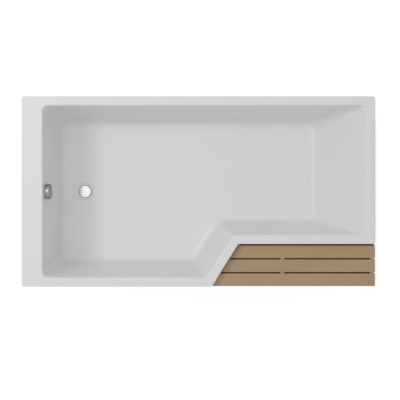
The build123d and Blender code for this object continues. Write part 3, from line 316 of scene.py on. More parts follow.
def chopped_glass():
    """Sprayed resin with short strands lying every way."""
    look = settings("look")
    made = Finish("chopped_glass")
    strand = (34 * MM, 2.6 * MM, 2.6 * MM)
    quarter = math.pi / 2
    strands = None
    for plane in (Euler((0, 0, 0)), Euler((quarter, 0, 0)), Euler((quarter, 0, quarter))):
        for slant in (0.3, 1.3, 2.4):
            turn = plane.to_matrix() @ Euler((0, 0, slant)).to_matrix()
            lying = made.noise(1.0, 1.0, 0.4, made.marks(strand, turn.to_euler()))
            layer = made.spread(lying, 0.57, 0.66)
            strands = layer if strands is None else made.reckon("MAXIMUM", strands, layer)
    pooled = made.noise(18.0, 4.0)
    resin = made.blend(made.spread(pooled, 0.3, 0.7), look.resin, [0.86 * part for part in look.resin])
    made.set({"Base Color": made.blend(strands, resin, look.strands)})
    made.set({"Roughness": made.spread(pooled, 0.3, 0.7, 0.35, 0.62)})
    made.bump(made.reckon("ADD", strands, pooled), 0.7 * MM, 0.8)
    return made.material


def chipboard():
    """Raw chipboard: flat chips in tan tones."""
    look = settings("look")
    made = Finish("chipboard")
    chips = made.cells(1.0, made.marks((5.5 * MM, 4.2 * MM, 2.4 * MM)))
    tone = made.spread(made.reckon("MULTIPLY", chips, made.noise(160.0, 3.0)), 0.08, 0.5)
    made.set({"Base Color": made.blend(tone, look.chip_dark, look.chip_light)})
    made.set({"Roughness": 0.78})
    made.bump(tone, 0.3 * MM, 0.6)
    return made.material


def wood(name, light, dark, ring, pore, roughness):
    """Planed wood along a piece's own grain: rings, fibres and pores, and painted shade, a dark colour where
    a piece is marked for it.
    """
    made = Finish(name, grain=True)
    ring_at_scale_one = 0.314
    rings = made.add(
        "ShaderNodeTexWave",
        {
            "Vector": made.marks((14, 1, 1), (0, 0.02, 0.03)),
            "Scale": ring_at_scale_one / ring,
            "Distortion": 4.0,
            "Detail": 3.0,
            "Detail Scale": 0.35,
        },
        wave_type="RINGS",
        rings_direction="X",
    ).outputs["Fac"]
    fibres = made.noise(1.0, 4.0, 0.6, made.marks((70 * MM, 1.6 * MM, 1.6 * MM)))
    pores = made.spread(made.noise(1.0, 1.0, 0.5, made.marks((12 * MM, 0.7 * MM, 0.7 * MM))), 0.62, 0.74)
    board = made.spread(made.noise(3.0, 2.0), 0.3, 0.7, 0.0, 0.35)
    tone = made.reckon("ADD", made.reckon("MULTIPLY", rings, fibres), board)
    body = made.blend(made.spread(tone, 0.12, 0.72), dark, light)
    bare = made.blend(made.reckon("MULTIPLY", pores, 0.45), body, pore)
    # Painted shade: the pieces under the gaps take the dark colour in place of the shade that falls there
    in_painted_shade = made.add("ShaderNodeAttribute", attribute_name="painted_shade").outputs["Fac"]
    made.set({"Base Color": made.blend(in_painted_shade, bare, settings("shelf").painted_shade)})
    made.set({"Roughness": made.spread(fibres, 0.3, 0.7, roughness, roughness + 0.14)})
    made.bump(made.reckon("SUBTRACT", fibres, pores), 0.25 * MM, 0.55)
    return made.material


def teak():
    """Oiled teak of the shelf."""
    look = settings("shelf")
    return wood("oiled_teak", look.light, look.dark, look.ring, look.pore, 0.48)


def softwood():
    """Planed battens."""
    look = settings("look")
    dark = look.softwood_dark
    return wood("planed_softwood", look.softwood_light, dark, 0.006, [0.7 * part for part in dark], 0.6)


def galvanised_steel():
    """Zinc-dipped sheet with its crystals."""
    made = Finish("galvanised_steel")
    crystals = made.cells(75.0)
    tone = made.spread(crystals, 0.0, 1.0)
    made.set({"Base Color": made.blend(tone, (0.40, 0.42, 0.44), (0.66, 0.68, 0.69)), "Metallic": 1.0})
    made.set({"Roughness": made.spread(crystals, 0.0, 1.0, 0.30, 0.46)})
    made.bump(made.noise(320.0, 2.0), 0.08 * MM, 0.6)
    return made.material


def plain_metal(name, light, dark, low, high, mark=(11 * MM, 11 * MM, 0.7 * MM)):
    """Metal with fine marks of its making, and a roughness between low and high."""
    made = Finish(name)
    marks = made.noise(1.0, 3.0, 0.6, made.marks(mark))
    made.set({"Base Color": made.blend(marks, dark, light), "Metallic": 1.0})
    made.set({"Roughness": made.spread(marks, 0.3, 0.7, low, high)})
    made.bump(marks, 0.03 * MM, 0.5)
    return made.material


# Faint marks that wiping leaves on plated surfaces
WIPING_MARK = (33 * MM, 33 * MM, 16 * MM)


def painted_shade_chrome():
    """The knob's chrome, darker than the other chrome: painted shade, a darker copy that stands in for dark
    reflections and stays dark where it is seen at a slant.
    """
    made = plain_metal("painted_shade_chrome", (0.36, 0.365, 0.375), (0.31, 0.315, 0.325), 0.31, 0.37, WIPING_MARK)
    shader = made.node_tree.nodes["Principled BSDF"]
    shader.inputs["Specular Tint"].default_value = (0.82, 0.82, 0.83, 1)
    return made


def painted_shade_black_zinc():
    """Zinc passivated black for the steel angles that show beside the rim: painted shade, dark so that the
    gap there looks as dark as shade.
    """
    return plain_metal("painted_shade_black_zinc", (0.060, 0.055, 0.050), (0.035, 0.033, 0.030), 0.45, 0.6)


def satin_painted_light_chrome():
    """Satin plate of the plug's cap, paler than the other chrome: painted light, a lit copy of the chrome so
    that the cap looks white.
    """
    mark = (12 * MM, 12 * MM, 12 * MM)
    return plain_metal("satin_painted_light_chrome", (0.91, 0.91, 0.91), (0.87, 0.87, 0.875), 0.24, 0.32, mark)


def moulded(name, light, dark, roughness, grain_scale, grain_depth):
    """Moulded plastic or rubber with the fine texture of its mould."""
    made = Finish(name)
    clouds = made.noise(22.0, 3.0)
    made.set({"Base Color": made.blend(clouds, dark, light)})
    made.set({"Roughness": made.spread(clouds, 0.3, 0.7, roughness, roughness + 0.12)})
    made.bump(made.noise(grain_scale, 2.0), grain_depth, 0.5)
    return made.material


# Finishes of the record's material slots that have a function of their own
FINISHES = {
    "acrylic": white_acrylic,
    "glass_fibre": chopped_glass,
    "board": chipboard,
    "softwood": softwood,
    "galvanised": galvanised_steel,
    "teak": teak,
}
# Slots of plain metals, and then of plastics and rubber, with what the functions for them are given
METALS = {
    "zinc": ("bright_zinc", (0.66, 0.66, 0.63), (0.50, 0.51, 0.50), 0.22, 0.38),
    "stainless": ("turned_stainless", (0.62, 0.61, 0.59), (0.47, 0.46, 0.45), 0.18, 0.34),
    "chrome": ("chrome_plate", (0.66, 0.665, 0.67), (0.60, 0.605, 0.61), 0.05, 0.11, WIPING_MARK),
}
MOULDED = {
    "drain_plastic": ("white_polypropylene", (0.78, 0.78, 0.76), (0.71, 0.71, 0.69), 0.32, 520.0, 0.08 * MM),
    "pad_plastic": ("black_nylon", (0.045, 0.045, 0.05), (0.028, 0.028, 0.032), 0.42, 640.0, 0.1 * MM),
    "rubber": ("black_rubber", (0.035, 0.035, 0.035), (0.022, 0.022, 0.022), 0.6, 800.0, 0.08 * MM),
    "sheath": ("vinyl_sheath", (0.07, 0.07, 0.075), (0.05, 0.05, 0.055), 0.38, 420.0, 0.06 * MM),
}
SLOTS = {row["node"]: row["material_slot"] for row in frame["record"]["subparts"]}
made_finishes = {}


def finish_for(slot):
    """The slot's material, made when it is first asked for."""
    if slot in made_finishes:
        return made_finishes[slot]
    if slot in METALS:
        made = plain_metal(*METALS[slot])
    elif slot in MOULDED:
        made = moulded(*MOULDED[slot])
    else:
        made = FINISHES[slot]()
    made_finishes[slot] = made
    return made


def finish_as(name, material):
    """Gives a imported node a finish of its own."""
    for slot in nodes[name].material_slots:
        slot.material = material


def finish_nodes(*names):
    """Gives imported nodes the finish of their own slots."""
    for name in names:
        finish_as(name, finish_for(SLOTS[name]))


def new_object(name, data):
    """An object in the scene's own collection."""
    made = bpy.data.objects.new(name, data)
    bpy.context.scene.collection.objects.link(made)
    return made


def mesh_of(work, name):
    """Ends the editing of a mesh."""
    mesh = bpy.data.meshes.new(name)
    work.to_mesh(mesh)
    work.free()
    return mesh


def merged_copy(name):
    """A node's mesh as closed solids, with the corners of its loose triangles merged."""
    work = bmesh.new()
    work.from_mesh(nodes[name].data)
    bmesh.ops.remove_doubles(work, verts=work.verts, dist=MERGE_REACH)
    return work


def flat_faced_copy(name):
    """A node's mesh as closed solids with whole flat faces."""
    work = merged_copy(name)
    bmesh.ops.dissolve_limit(
        work, angle_limit=FLAT_ANGLE, verts=work.verts, edges=work.edges, use_dissolve_boundaries=False
    )
    return work


def solids_of(work):
    """The separate solids of a mesh, each a list of vertices, in the mesh's own order."""
    seen = set()
    groups = []
    for start in work.verts:
        if start in seen:
            continue
        seen.add(start)
        group = [start]
        for vertex in group:
            for edge in vertex.link_edges:
                other = edge.other_vert(vertex)
                if other not in seen:
                    seen.add(other)
                    group.append(other)
        groups.append(group)
    return groups


def ease_edges(work, width):
    """Bevels the long sharp edges."""
    sharp = [
        edge
        for edge in work.edges
        if edge.is_manifold
        and edge.calc_face_angle(0) > EASED_ANGLE
        and edge.calc_length() > SHORTEST_EASED_EDGE
    ]
    bmesh.ops.bevel(
        work, geom=sharp, offset=width, segments=2, profile=0.5, affect="EDGES", clamp_overlap=True
    )


def piece_on_bath(work, name, node, material=None):
    """Turns a mesh in editing into a piece that stands for a node of the bath's own body."""
    piece_of_mesh(mesh_of(work, name), name, node, "bath", material=material)


def piece_of_mesh(mesh, name, node, body, slot=None, material=None):
    """Dresses a finished mesh, which stands for a node if one is named, and rides on a body."""
    slot = slot or SLOTS[node]
    mesh.shade_smooth()
    mesh.set_sharp_from_angle(angle=SHADING_ANGLE)
    mesh.materials.clear()
    mesh.materials.append(material or finish_for(slot))
    piece = new_object(name, mesh)
    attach(piece, body)
    if node:
        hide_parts(node)


def folded(node, material=None):
    """Sheet steel with its edges eased."""
    work = flat_faced_copy(node)
    ease_edges(work, SHEET_EASE)
    piece_on_bath(work, node + "_folded", node, material)


def grain_axes(solid):
    """The directions along a board's grain, across it and through the board."""
    edges = [edge for vertex in solid for edge in vertex.link_edges]
    first, last = max(edges, key=lambda edge: round(edge.calc_length(), 6)).verts
    along = (last.co - first.co).normalized()
    if max(along, key=abs) < 0:
        along = -along
    stands = abs(along.z) > 0.5
    upright = Vector((1, 0, 0)) if stands else Vector((0, 0, 1))
    across = upright.cross(along).normalized()
    return along, across, along.cross(across)


def grained(node, rng, painted_shade_below=0.0):
    """A timber piece with eased edges whose grain runs along each of its solids.

    Solids that end below a given height, which lie under the gaps between the slats, get painted shade: a
    dark colour in place of the shade there.
    """
    work = flat_faced_copy(node)
    ease_edges(work, settings("shelf").edge)
    grain = work.verts.layers.float_vector.new("grain")
    painted_shade = work.verts.layers.float.new("painted_shade")
    for solid in solids_of(work):
        in_painted_shade = float(max(vertex.co.z for vertex in solid) < painted_shade_below)
        axes = grain_axes(solid)
        centre = sum((vertex.co for vertex in solid), Vector()) / len(solid)
        place = Vector(rng.uniform(*reach) for reach in (ALONG_LOG, BESIDE_HEART, ABOVE_HEART))
        for vertex in solid:
            vertex[grain] = place + Vector((vertex.co - centre).dot(axis) for axis in axes)
            vertex[painted_shade] = in_painted_shade
    piece_on_bath(work, node + "_timber", node)


def turned(profile, steps, shape=None, closed=False):
    """Solid turned about Z from points of radius and height. Shape changes a radius by its angle.

    A closed profile makes a ring, and an open one ends on the axis at both ends.
    """
    work = bmesh.new()
    rings = []
    for radius, height in profile:
        if radius == 0:
            rings.append([work.verts.new((0, 0, height))])
            continue
        ring = []
        for step in range(steps):
            angle = 2 * math.pi * step / steps
            reach = shape(radius, height, angle) if shape else radius
            ring.append(work.verts.new((reach * math.cos(angle), reach * math.sin(angle), height)))
        rings.append(ring)
    pairs = list(zip(rings, rings[1:]))
    if closed:
        pairs.append((rings[-1], rings[0]))
    for low, high in pairs:
        for step in range(steps):
            after = (step + 1) % steps
            if len(low) == 1:
                corners = (low[0], high[after], high[step])
            elif len(high) == 1:
                corners = (low[step], low[after], high[0])
            else:
                corners = (low[step], low[after], high[after], high[step])
            work.faces.new(corners)
    bmesh.ops.recalc_face_normals(work, faces=work.faces)
    return work


def new_recipe(name, numbers=(), objects=()):
    """A geometry tree with a mesh in and out, named inputs and a material, and what those inputs give."""
    tree = bpy.data.node_groups.new(name, "GeometryNodeTree")
    inputs = {"Geometry": "Geometry", **dict.fromkeys(numbers, "Float"), **dict.fromkeys(objects, "Object")}
    for label, kind in (inputs | {"Material": "Material"}).items():
        tree.interface.new_socket(label, in_out="INPUT", socket_type="NodeSocket" + kind)
    tree.interface.new_socket("Geometry", in_out="OUTPUT", socket_type="NodeSocketGeometry")
    return tree, add_node(tree, "NodeGroupInput").outputs


def end_recipe(tree, geometry, material):
    """Ends a tree in real geometry with its material."""
    real = result_of(tree, "GeometryNodeRealizeInstances", {"Geometry": geometry})
    dressed = result_of(tree, "GeometryNodeSetMaterial", {"Geometry": real, "Material": material})
    add_node(tree, "NodeGroupOutput", {"Geometry": dressed})


def cooked(tree, mesh, values):
    """Runs a tree on a mesh with the given inputs and returns the plain mesh that it makes."""
    holder = new_object("holder", mesh)
    modifier = holder.modifiers.new("recipe", "NODES")
    modifier.node_group = tree
    for item in tree.interface.items_tree:
        if item.in_out == "INPUT" and item.name in values:
            modifier[item.identifier] = values[item.name]
    graph = bpy.context.evaluated_depsgraph_get()
    result = bpy.data.meshes.new_from_object(holder.evaluated_get(graph), depsgraph=graph)
    bpy.data.objects.remove(holder)
    bpy.data.meshes.remove(mesh)
    return result


def lifted(tree, geometry, height):
    """Geometry moved upwards."""
    offset = vector_node(tree, Z=height)
    return result_of(tree, "GeometryNodeTransform", {"Geometry": geometry, "Translation": offset})


def threaded_rod_recipe():
    """Rod with a helical ridge: a plain core, and the ridge swept along a spiral on its surface.

    The ridge's profile points at the axis, so it lies inside the core and the rod looks plain.
    """
    numbers = ("Crest radius", "Depth", "Pitch", "Length")
    tree, given = new_recipe("Threaded rod", numbers)
    crest, depth, pitch, reach = (given[name] for name in numbers)
    root = math_node(tree, "SUBTRACT", crest, depth)
    core = result_of(tree, "GeometryNodeMeshCylinder", {"Vertices": 24, "Radius": root, "Depth": reach})
    core = lifted(tree, core, math_node(tree, "MULTIPLY", reach, 0.5))
    # The thread stops short of both ends by a share of its pitch
    end_share = 0.7
    run = math_node(tree, "SUBTRACT", reach, math_node(tree, "MULTIPLY", pitch, 2 * end_share))
    values = {"Resolution": 20, "Start Radius": root, "End Radius": root, "Height": run}
    values["Rotations"] = math_node(tree, "DIVIDE", run, pitch)
    spiral = result_of(tree, "GeometryNodeCurveSpiral", values)
    spiral = lifted(tree, spiral, math_node(tree, "MULTIPLY", pitch, end_share))
    upright = result_of(tree, "GeometryNodeSetCurveNormal", {"Curve": spiral}, mode="Z_UP")
    # Half the ridge's width at its foot, and its crest's share of that
    flank = math_node(tree, "MULTIPLY", pitch, 0.44)
    crest_share = 0.18
    high_side, low_side = (math_node(tree, "MULTIPLY", flank, side * crest_share) for side in (1, -1))
    corners = {
        "Point 1": vector_node(tree, Y=flank),
        "Point 2": vector_node(tree, X=depth, Y=high_side),
        "Point 3": vector_node(tree, X=depth, Y=low_side),
        "Point 4": vector_node(tree, Y=math_node(tree, "MULTIPLY", flank, -1.0)),
    }
    ridge = result_of(tree, "GeometryNodeCurvePrimitiveQuadrilateral", corners, mode="POINTS")
    values = {"Curve": upright, "Profile Curve": ridge, "Fill Caps": True}
    thread = result_of(tree, "GeometryNodeCurveToMesh", values)
    both = add_node(tree, "GeometryNodeJoinGeometry")
    tree.links.new(core, both.inputs[0])
    tree.links.new(thread, both.inputs[0])
    end_recipe(tree, both.outputs[0], given["Material"])
    return tree


def copies_recipe():
    """A master piece set on each point of a mesh, turned as the point's attribute says."""
    tree, given = new_recipe("Copies on points", objects=("Master",))
    master = add_node(tree, "GeometryNodeObjectInfo", {"Object": given["Master"]}).outputs["Geometry"]
    angles = result_of(tree, "GeometryNodeInputNamedAttribute", {"Name": "turn"}, data_type="FLOAT_VECTOR")
    turn = result_of(tree, "FunctionNodeEulerToRotation", {0: angles})
    points = result_of(tree, "GeometryNodeMeshToPoints", {"Mesh": given["Geometry"]})
    values = {"Points": points, "Instance": master, "Rotation": turn}
    end_recipe(tree, result_of(tree, "GeometryNodeInstanceOnPoints", values), given["Material"])
    return tree


def grip_recipe():
    """Ribs round a nut: its outer wall is drawn in between them by a wave of the angle."""
    tree, given = new_recipe("Grip ribs", ("Ribs", "Depth", "Wall radius", "Low", "High"))
    place = result_of(tree, "GeometryNodeInputPosition")
    parts = add_node(tree, "ShaderNodeSeparateXYZ", {0: place}).outputs
    flat = vector_node(tree, X=parts["X"], Y=parts["Y"])
    radius = add_node(tree, "ShaderNodeVectorMath", {0: flat}, operation="LENGTH").outputs["Value"]
    angle = math_node(tree, "ARCTAN2", parts["Y"], parts["X"])
    wave = math_node(tree, "COSINE", math_node(tree, "MULTIPLY", angle, given["Ribs"]))
    groove = math_node(tree, "MULTIPLY", math_node(tree, "SUBTRACT", wave, 1.0), 0.5)
    outside = math_node(tree, "GREATER_THAN", radius, given["Wall radius"])
    above = math_node(tree, "GREATER_THAN", parts["Z"], given["Low"])
    below = math_node(tree, "LESS_THAN", parts["Z"], given["High"])
    chosen = math_node(tree, "MULTIPLY", outside, math_node(tree, "MULTIPLY", above, below))
    step = math_node(tree, "MULTIPLY", math_node(tree, "MULTIPLY", groove, given["Depth"]), chosen)
    outwards = result_of(tree, "ShaderNodeVectorMath", {0: flat}, operation="NORMALIZE")
    move = result_of(tree, "ShaderNodeVectorMath", {0: outwards, "Scale": step}, operation="SCALE")
    ribbed = result_of(tree, "GeometryNodeSetPosition", {"Geometry": given["Geometry"], "Offset": move})
    end_recipe(tree, ribbed, given["Material"])
    return tree


recipes = {}


def recipe(name, make):
    """A geometry tree, built when it is first asked for."""
    if name not in recipes:
        recipes[name] = make()
    return recipes[name]


def threaded_rod(radius, depth, pitch, reach, slot):
    """Mesh of a rod that stands on the origin, with its thread's depth taken off its radius."""
    values = {
        "Crest radius": radius,
        "Depth": depth,
        "Pitch": pitch,
        "Length": reach,
        "Material": finish_for(slot),
    }
    return cooked(recipe("rod", threaded_rod_recipe), bpy.data.meshes.new("blank"), values)


class Fastener:
    """Where one screw or nut of a node sits, read from its solid's box."""

    def __init__(self, solid):
        low = Vector(min(vertex.co[axis] for vertex in solid) for axis in range(3))
        high = Vector(max(vertex.co[axis] for vertex in solid) for axis in range(3))
        self.low, self.high = low, high
        self.middle = (low + high) / 2
        sizes = high - low
        small, between, large = sorted(range(3), key=lambda axis: sizes[axis])
        # The axis is the side that differs from the other two, which are the width of a round form
        long_form = sizes[between] - sizes[small] < sizes[large] - sizes[between]
        self.axis = large if long_form else small
        self.length = sizes[self.axis]
        self.width = sizes[small if long_form else large]
        # The wide end is the head's, and most of the outermost vertices lie there
        near_rim = 0.45 * self.width
        rim = [vertex.co[self.axis] for vertex in solid if self.reach(vertex) > near_rim]
        self.points_up = sum(rim) / len(rim) < self.middle[self.axis]

    def reach(self, vertex):
        """A vertex's distance from the axis, along the side on which it is larger."""
        return max(abs(vertex.co[side] - self.middle[side]) for side in range(3) if side != self.axis)

    def direction(self):
        """From the head to the tip."""
        way = Vector((0, 0, 0))
        way[self.axis] = 1 if self.points_up else -1
        return way

    def head_end(self):
        """The middle of the head's top."""
        spot = self.middle.copy()
        spot[self.axis] = self.low[self.axis] if self.points_up else self.high[self.axis]
        return spot

    def low_end(self):
        """The middle of the face at the lower end of the axis."""
        spot = self.middle.copy()
        spot[self.axis] = self.low[self.axis]
        return spot


def fasteners_in(node):
    """All screws or nuts of a node."""
    work = merged_copy(node)
    found = [Fastener(solid) for solid in solids_of(work)]
    work.free()
    return found


def copies_of(work, places, turns, slot):
    """Copies of one master mesh, as one plain mesh."""
    master = new_object("master", mesh_of(work, "master"))
    points = bpy.data.meshes.new("points")
    points.from_pydata(places, [], [])
    layer = points.attributes.new("turn", "FLOAT_VECTOR", "POINT")
    layer.data.foreach_set("vector", [part for turn in turns for part in turn])
    values = {"Master": master, "Material": finish_for(slot)}
    mesh = cooked(recipe("copies", copies_recipe), points, values)
    bpy.data.objects.remove(master)
    return mesh


def cross_recess(head_radius):
    """Shape of a screw's cross: a radius that swells at four lobes."""
    recess_radius = 0.6 * head_radius
    slot_share = 0.36
    sharpness = 5

    def shape(radius, height, angle):
        if radius > recess_radius:
            return radius
        return radius * (slot_share + (1 - slot_share) * abs(math.cos(2 * angle)) ** sharpness)

    return shape


def screw_head(radius, height):
    """Pan head with a cross, its top at zero and its seat at height. Its copies point up."""
    depth = settings("fittings").recess_depth
    lobe = 0.56 * radius
    profile = [
        (0, depth),
        (0.55 * lobe, depth),
        (lobe, 0),
        (0.68 * radius, 0),
        (0.86 * radius, 0.12 * height),
        (0.97 * radius, 0.42 * height),
        (radius, 0.8 * height),
        (radius, height),
        (0, height),
    ]
    return turned(profile, steps=40, shape=cross_recess(radius))


def add_mesh(together, mesh, place, turn):
    """Adds a mesh at a place, turned, to a mesh in editing."""
    mesh.transform(Matrix.Translation(place) @ turn.to_matrix().to_4x4())
    together.from_mesh(mesh)
    bpy.data.meshes.remove(mesh)


def screws(node, shank_radius):
    """All screws of a node: their heads and their shanks, from its solids' boxes."""
    sizes = settings("fittings")
    found = fasteners_in(node)
    slot = SLOTS[node]
    depth = sizes.thread_depth * SCREW_THREAD_SHARE
    turns = [Vector((0, 0, 1)).rotation_difference(screw.direction()).to_euler() for screw in found]
    head = screw_head(found[0].width / 2, SCREW_HEAD_HEIGHT)
    heads = copies_of(head, [screw.head_end() for screw in found], turns, slot)
    together = bmesh.new()
    together.from_mesh(heads)
    bpy.data.meshes.remove(heads)
    for screw, turn in zip(found, turns):
        reach = screw.length - SCREW_HEAD_HEIGHT
        rod = threaded_rod(shank_radius, depth, sizes.screw_pitch, reach, slot)
        seat = screw.head_end() + screw.direction() * SCREW_HEAD_HEIGHT
        add_mesh(together, rod, seat, turn)
    piece_on_bath(together, node + "_turned", node)


def hexagon(flats, chamfer, height):
    """Shape of a hexagon nut whose corners are chamfered by a cone at both faces."""
    inner = 0.98 * flats / 2
    cone_width = 0.17 * flats / 2
    sixth = math.pi / 3

    def shape(radius, level, angle):
        if radius < inner:
            return radius
        within = (angle + sixth / 2) % sixth - sixth / 2
        from_face = min(level, height - level)
        return min(flats / 2 / math.cos(within), inner + from_face * cone_width / chamfer)

    return shape


def nut_master(flats, bore, height):
    """Hexagon nut standing on its seat."""
    chamfer = 0.14 * height
    outer = flats / 2
    mouth = bore + 0.5 * MM
    profile = [
        (bore, 0.06 * height),
        (mouth, 0),
        (outer, 0),
        (outer, 0.5 * chamfer),
        (outer, chamfer),
        (outer, height / 2),
        (outer, height - chamfer),
        (outer, height - 0.5 * chamfer),
        (outer, height),
        (mouth, height),
        (bore, 0.94 * height),
    ]
    return turned(profile, steps=72, shape=hexagon(flats, chamfer, height), closed=True)


def nut_profile(nut, solid):
    """Closed profile of a plastic nut along its axis, and the heights between which its grip is ribbed."""
    across = [axis for axis in range(3) if axis != nut.axis]
    spots = [
        (
            math.hypot(*(vertex.co[axis] - nut.middle[axis] for axis in across)),
            vertex.co[nut.axis] - nut.low[nut.axis],
        )
        for vertex in solid
    ]
    edge = NUT_EDGE
    outer = max(radius for radius, level in spots)
    low_bore = min(radius for radius, level in spots if level < edge)
    high_bore = min(radius for radius, level in spots if level > nut.length - edge)
    step = next(level for radius, level in spots if edge < level < nut.length - edge)
    start, end = (share * nut.length for share in GRIP_SHARES)
    profile = [
        (low_bore, 0),
        (outer - edge, 0),
        (outer, edge),
        (outer, start),
        (outer, start + edge),
        (outer, end - edge),
        (outer, end),
        (outer, nut.length - edge),
        (outer - edge, nut.length),
        (high_bore, nut.length),
        (high_bore, step),
        (low_bore, step),
    ]
    return profile, start, end


def ribbed_nuts(node):
    """All plastic nuts of a node, turned from their own profiles and with ribbed grips."""
    sizes = settings("fittings")
    steps_per_rib = 8
    work = merged_copy(node)
    together = bmesh.new()
    for solid in solids_of(work):
        nut = Fastener(solid)
        profile, start, end = nut_profile(nut, solid)
        plain = turned(profile, steps=steps_per_rib * sizes.grip_ribs, closed=True)
        values = {
            "Ribs": float(sizes.grip_ribs),
            "Depth": sizes.grip_depth,
            "Wall radius": nut.width / 2 - GRIP_ROOM,
            "Low": start + GRIP_ROOM,
            "High": end - GRIP_ROOM,
            "Material": finish_for(SLOTS[node]),
        }
        ribbed = cooked(recipe("grip", grip_recipe), mesh_of(plain, "nut"), values)
        along = Vector(float(side == nut.axis) for side in range(3))
        turn = Vector((0, 0, 1)).rotation_difference(along)
        add_mesh(together, ribbed, nut.low_end(), turn)
    work.free()
    piece_on_bath(together, node + "_ribbed", node)


def rounded(points, radius, steps=5):
    """Points of a profile with its inner corners rounded by about the given radius."""
    longest_share = 0.45
    line = [Vector((*point, 0)) for point in points]
    made = [line[0]]
    for before, corner, after in zip(line, line[1:], line[2:]):
        back, on = before - corner, after - corner
        half = back.angle(on) / 2
        reach = min(radius / math.tan(half), longest_share * back.length, longest_share * on.length)
        start, end = corner + back.normalized() * reach, corner + on.normalized() * reach
        for step in range(steps + 1):
            share = step / steps
            made.append(start.lerp(corner, share).lerp(corner.lerp(end, share), share))
    made.append(line[-1])
    return [(point.x, point.y) for point in made]


def cap_dome():
    """The plug's cap: a shallow dome with a soft edge, without the boss that the solid has under it."""
    sizes = settings("fittings")
    low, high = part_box("plug_cap")
    middle = (low + high) / 2
    radius = (high.x - low.x) / 2 - sizes.cap_lip
    height = sizes.cap_rise
    rise = height - sizes.cap_edge
    dome = (radius**2 + rise**2) / (2 * rise)
    arc_steps = 24
    reaches = [radius * step / arc_steps for step in range(arc_steps, 0, -1)]
    arc = [(reach, height - dome + math.sqrt(dome**2 - reach**2)) for reach in reaches]
    low_edge = [(radius - 2 * MM, 0), (radius, 1.4 * MM)]
    soft = rounded([*low_edge, *arc[:2]], MM)
    profile = [(0, 0), *soft[:-1], *arc[2:], (0, height)]
    mesh = mesh_of(turned(profile, steps=96), "cap_dome")
    mesh.transform(Matrix.Translation((middle.x, middle.y, high.z - height)))
    # The cap takes the paler copy of the chrome: painted light
    piece_of_mesh(mesh, "cap_dome", "plug_cap", "plug", material=satin_painted_light_chrome())


def cap_lip():
    """Thin rubber lip that shows round the cap."""
    sizes = settings("fittings")
    low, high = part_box("plug_cap")
    middle = (low + high) / 2
    outer = (high.x - low.x) / 2
    inner = outer - sizes.cap_lip - 1.2 * MM
    top = sizes.cap_edge - 0.6 * MM
    profile = [
        (inner, 0.2 * MM),
        (outer - 0.5 * MM, 0),
        (outer, 0.5 * MM),
        (outer, top - 0.6 * MM),
        (outer - 0.6 * MM, top),
        (inner, top),
    ]
    mesh = mesh_of(turned(profile, steps=72, closed=True), "cap_lip")
    mesh.transform(Matrix.Translation((middle.x, middle.y, high.z - sizes.cap_rise)))
    piece_of_mesh(mesh, "cap_lip", None, "plug", "rubber")


class BathStep:
    """What every step of the build shares."""

    bl_options = {"REGISTER", "UNDO"}


class BATH_OT_shell(BathStep, Operator):
    """Finish the acrylic shell and the coat under it"""

    bl_idname = "bath.shell"
    bl_label = "Shell and coat"

    def execute(self, context):
        finish_nodes("tub_shell", "glass_fibre_coat")
        return {"FINISHED"}


class BATH_OT_boards(BathStep, Operator):
    """Finish the base board, the tap deck's board and the battens under the rim"""

    bl_idname = "bath.boards"
    bl_label = "Boards and battens"

    def execute(self, context):
        finish_nodes("base_board", "tap_deck_board")
        grained("rim_battens", random.Random(BATTEN_SEED))
        return {"FINISHED"}


class BATH_OT_rails(BathStep, Operator):
    """Finish the leg rails, the wall clips and the shelf's brackets"""

    bl_idname = "bath.rails"
    bl_label = "Rails, clips and brackets"

    def execute(self, context):
        for node in ("rail_tap", "rail_middle", "rail_head", "wall_clips"):
            folded(node)
        # The brackets take the black zinc: painted shade in the gap beside the rim
        folded("shelf_brackets", painted_shade_black_zinc())
        return {"FINISHED"}


class BATH_OT_feet(BathStep, Operator):
    """Shape the feet's studs and nuts and finish their pads"""

    bl_idname = "bath.feet"
    bl_label = "Levelling feet"

    def execute(self, context):
        sizes = settings("fittings")
        for body in [name for name in frame["bodies"] if name.startswith("foot_")]:
            number = body[-1]
            stud = "foot_stud_" + number
            low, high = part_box(stud)
            middle = (low + high) / 2
            radius = (high.x - low.x) / 2
            rod = threaded_rod(radius, sizes.thread_depth, sizes.stud_pitch, high.z - low.z, "zinc")
            rod.transform(Matrix.Translation((middle.x, middle.y, low.z)))
            piece_of_mesh(rod, "foot_rod_" + number, stud, body)
            finish_nodes("foot_pad_" + number)
        nuts = fasteners_in("foot_nuts")
        box = nuts[0].high - nuts[0].low
        master = nut_master(min(box.x, box.y), radius + NUT_CLEARANCE, nuts[0].length)
        turns = [(0, 0, NUT_TURN * place) for place in range(len(nuts))]
        mesh = copies_of(master, [nut.low_end() for nut in nuts], turns, "zinc")
        piece_of_mesh(mesh, "foot_nuts_turned", "foot_nuts", "bath")
        return {"FINISHED"}


class BATH_OT_screws(BathStep, Operator):
    """Shape the heads and shanks of the rails' and the shelf's screws"""

    bl_idname = "bath.screws"
    bl_label = "Screws"

    def execute(self, context):
        screws("rail_screws", RAIL_SCREW_RADIUS)
        screws("shelf_screws", SHELF_SCREW_RADIUS)
        return {"FINISHED"}


class BATH_OT_waste(BathStep, Operator):
    """Finish the waste, its plug and the lever"""

    bl_idname = "bath.waste"
    bl_label = "Waste and plug"

    def execute(self, context):
        finish_nodes("waste_flange", "waste_gasket", "waste_body", "plug_seal", "plug_stem")
        cap_dome()
        cap_lip()
        finish_nodes("lift_lever", "lever_pin", "lever_box_cap")
        return {"FINISHED"}


class BATH_OT_trap(BathStep, Operator):
    """Finish the trap and its nuts"""

    bl_idname = "bath.trap"
    bl_label = "Trap"

    def execute(self, context):
        finish_nodes("trap_bend", "trap_washer")
        ribbed_nuts("trap_nut")
        ribbed_nuts("outlet_nut")
        return {"FINISHED"}


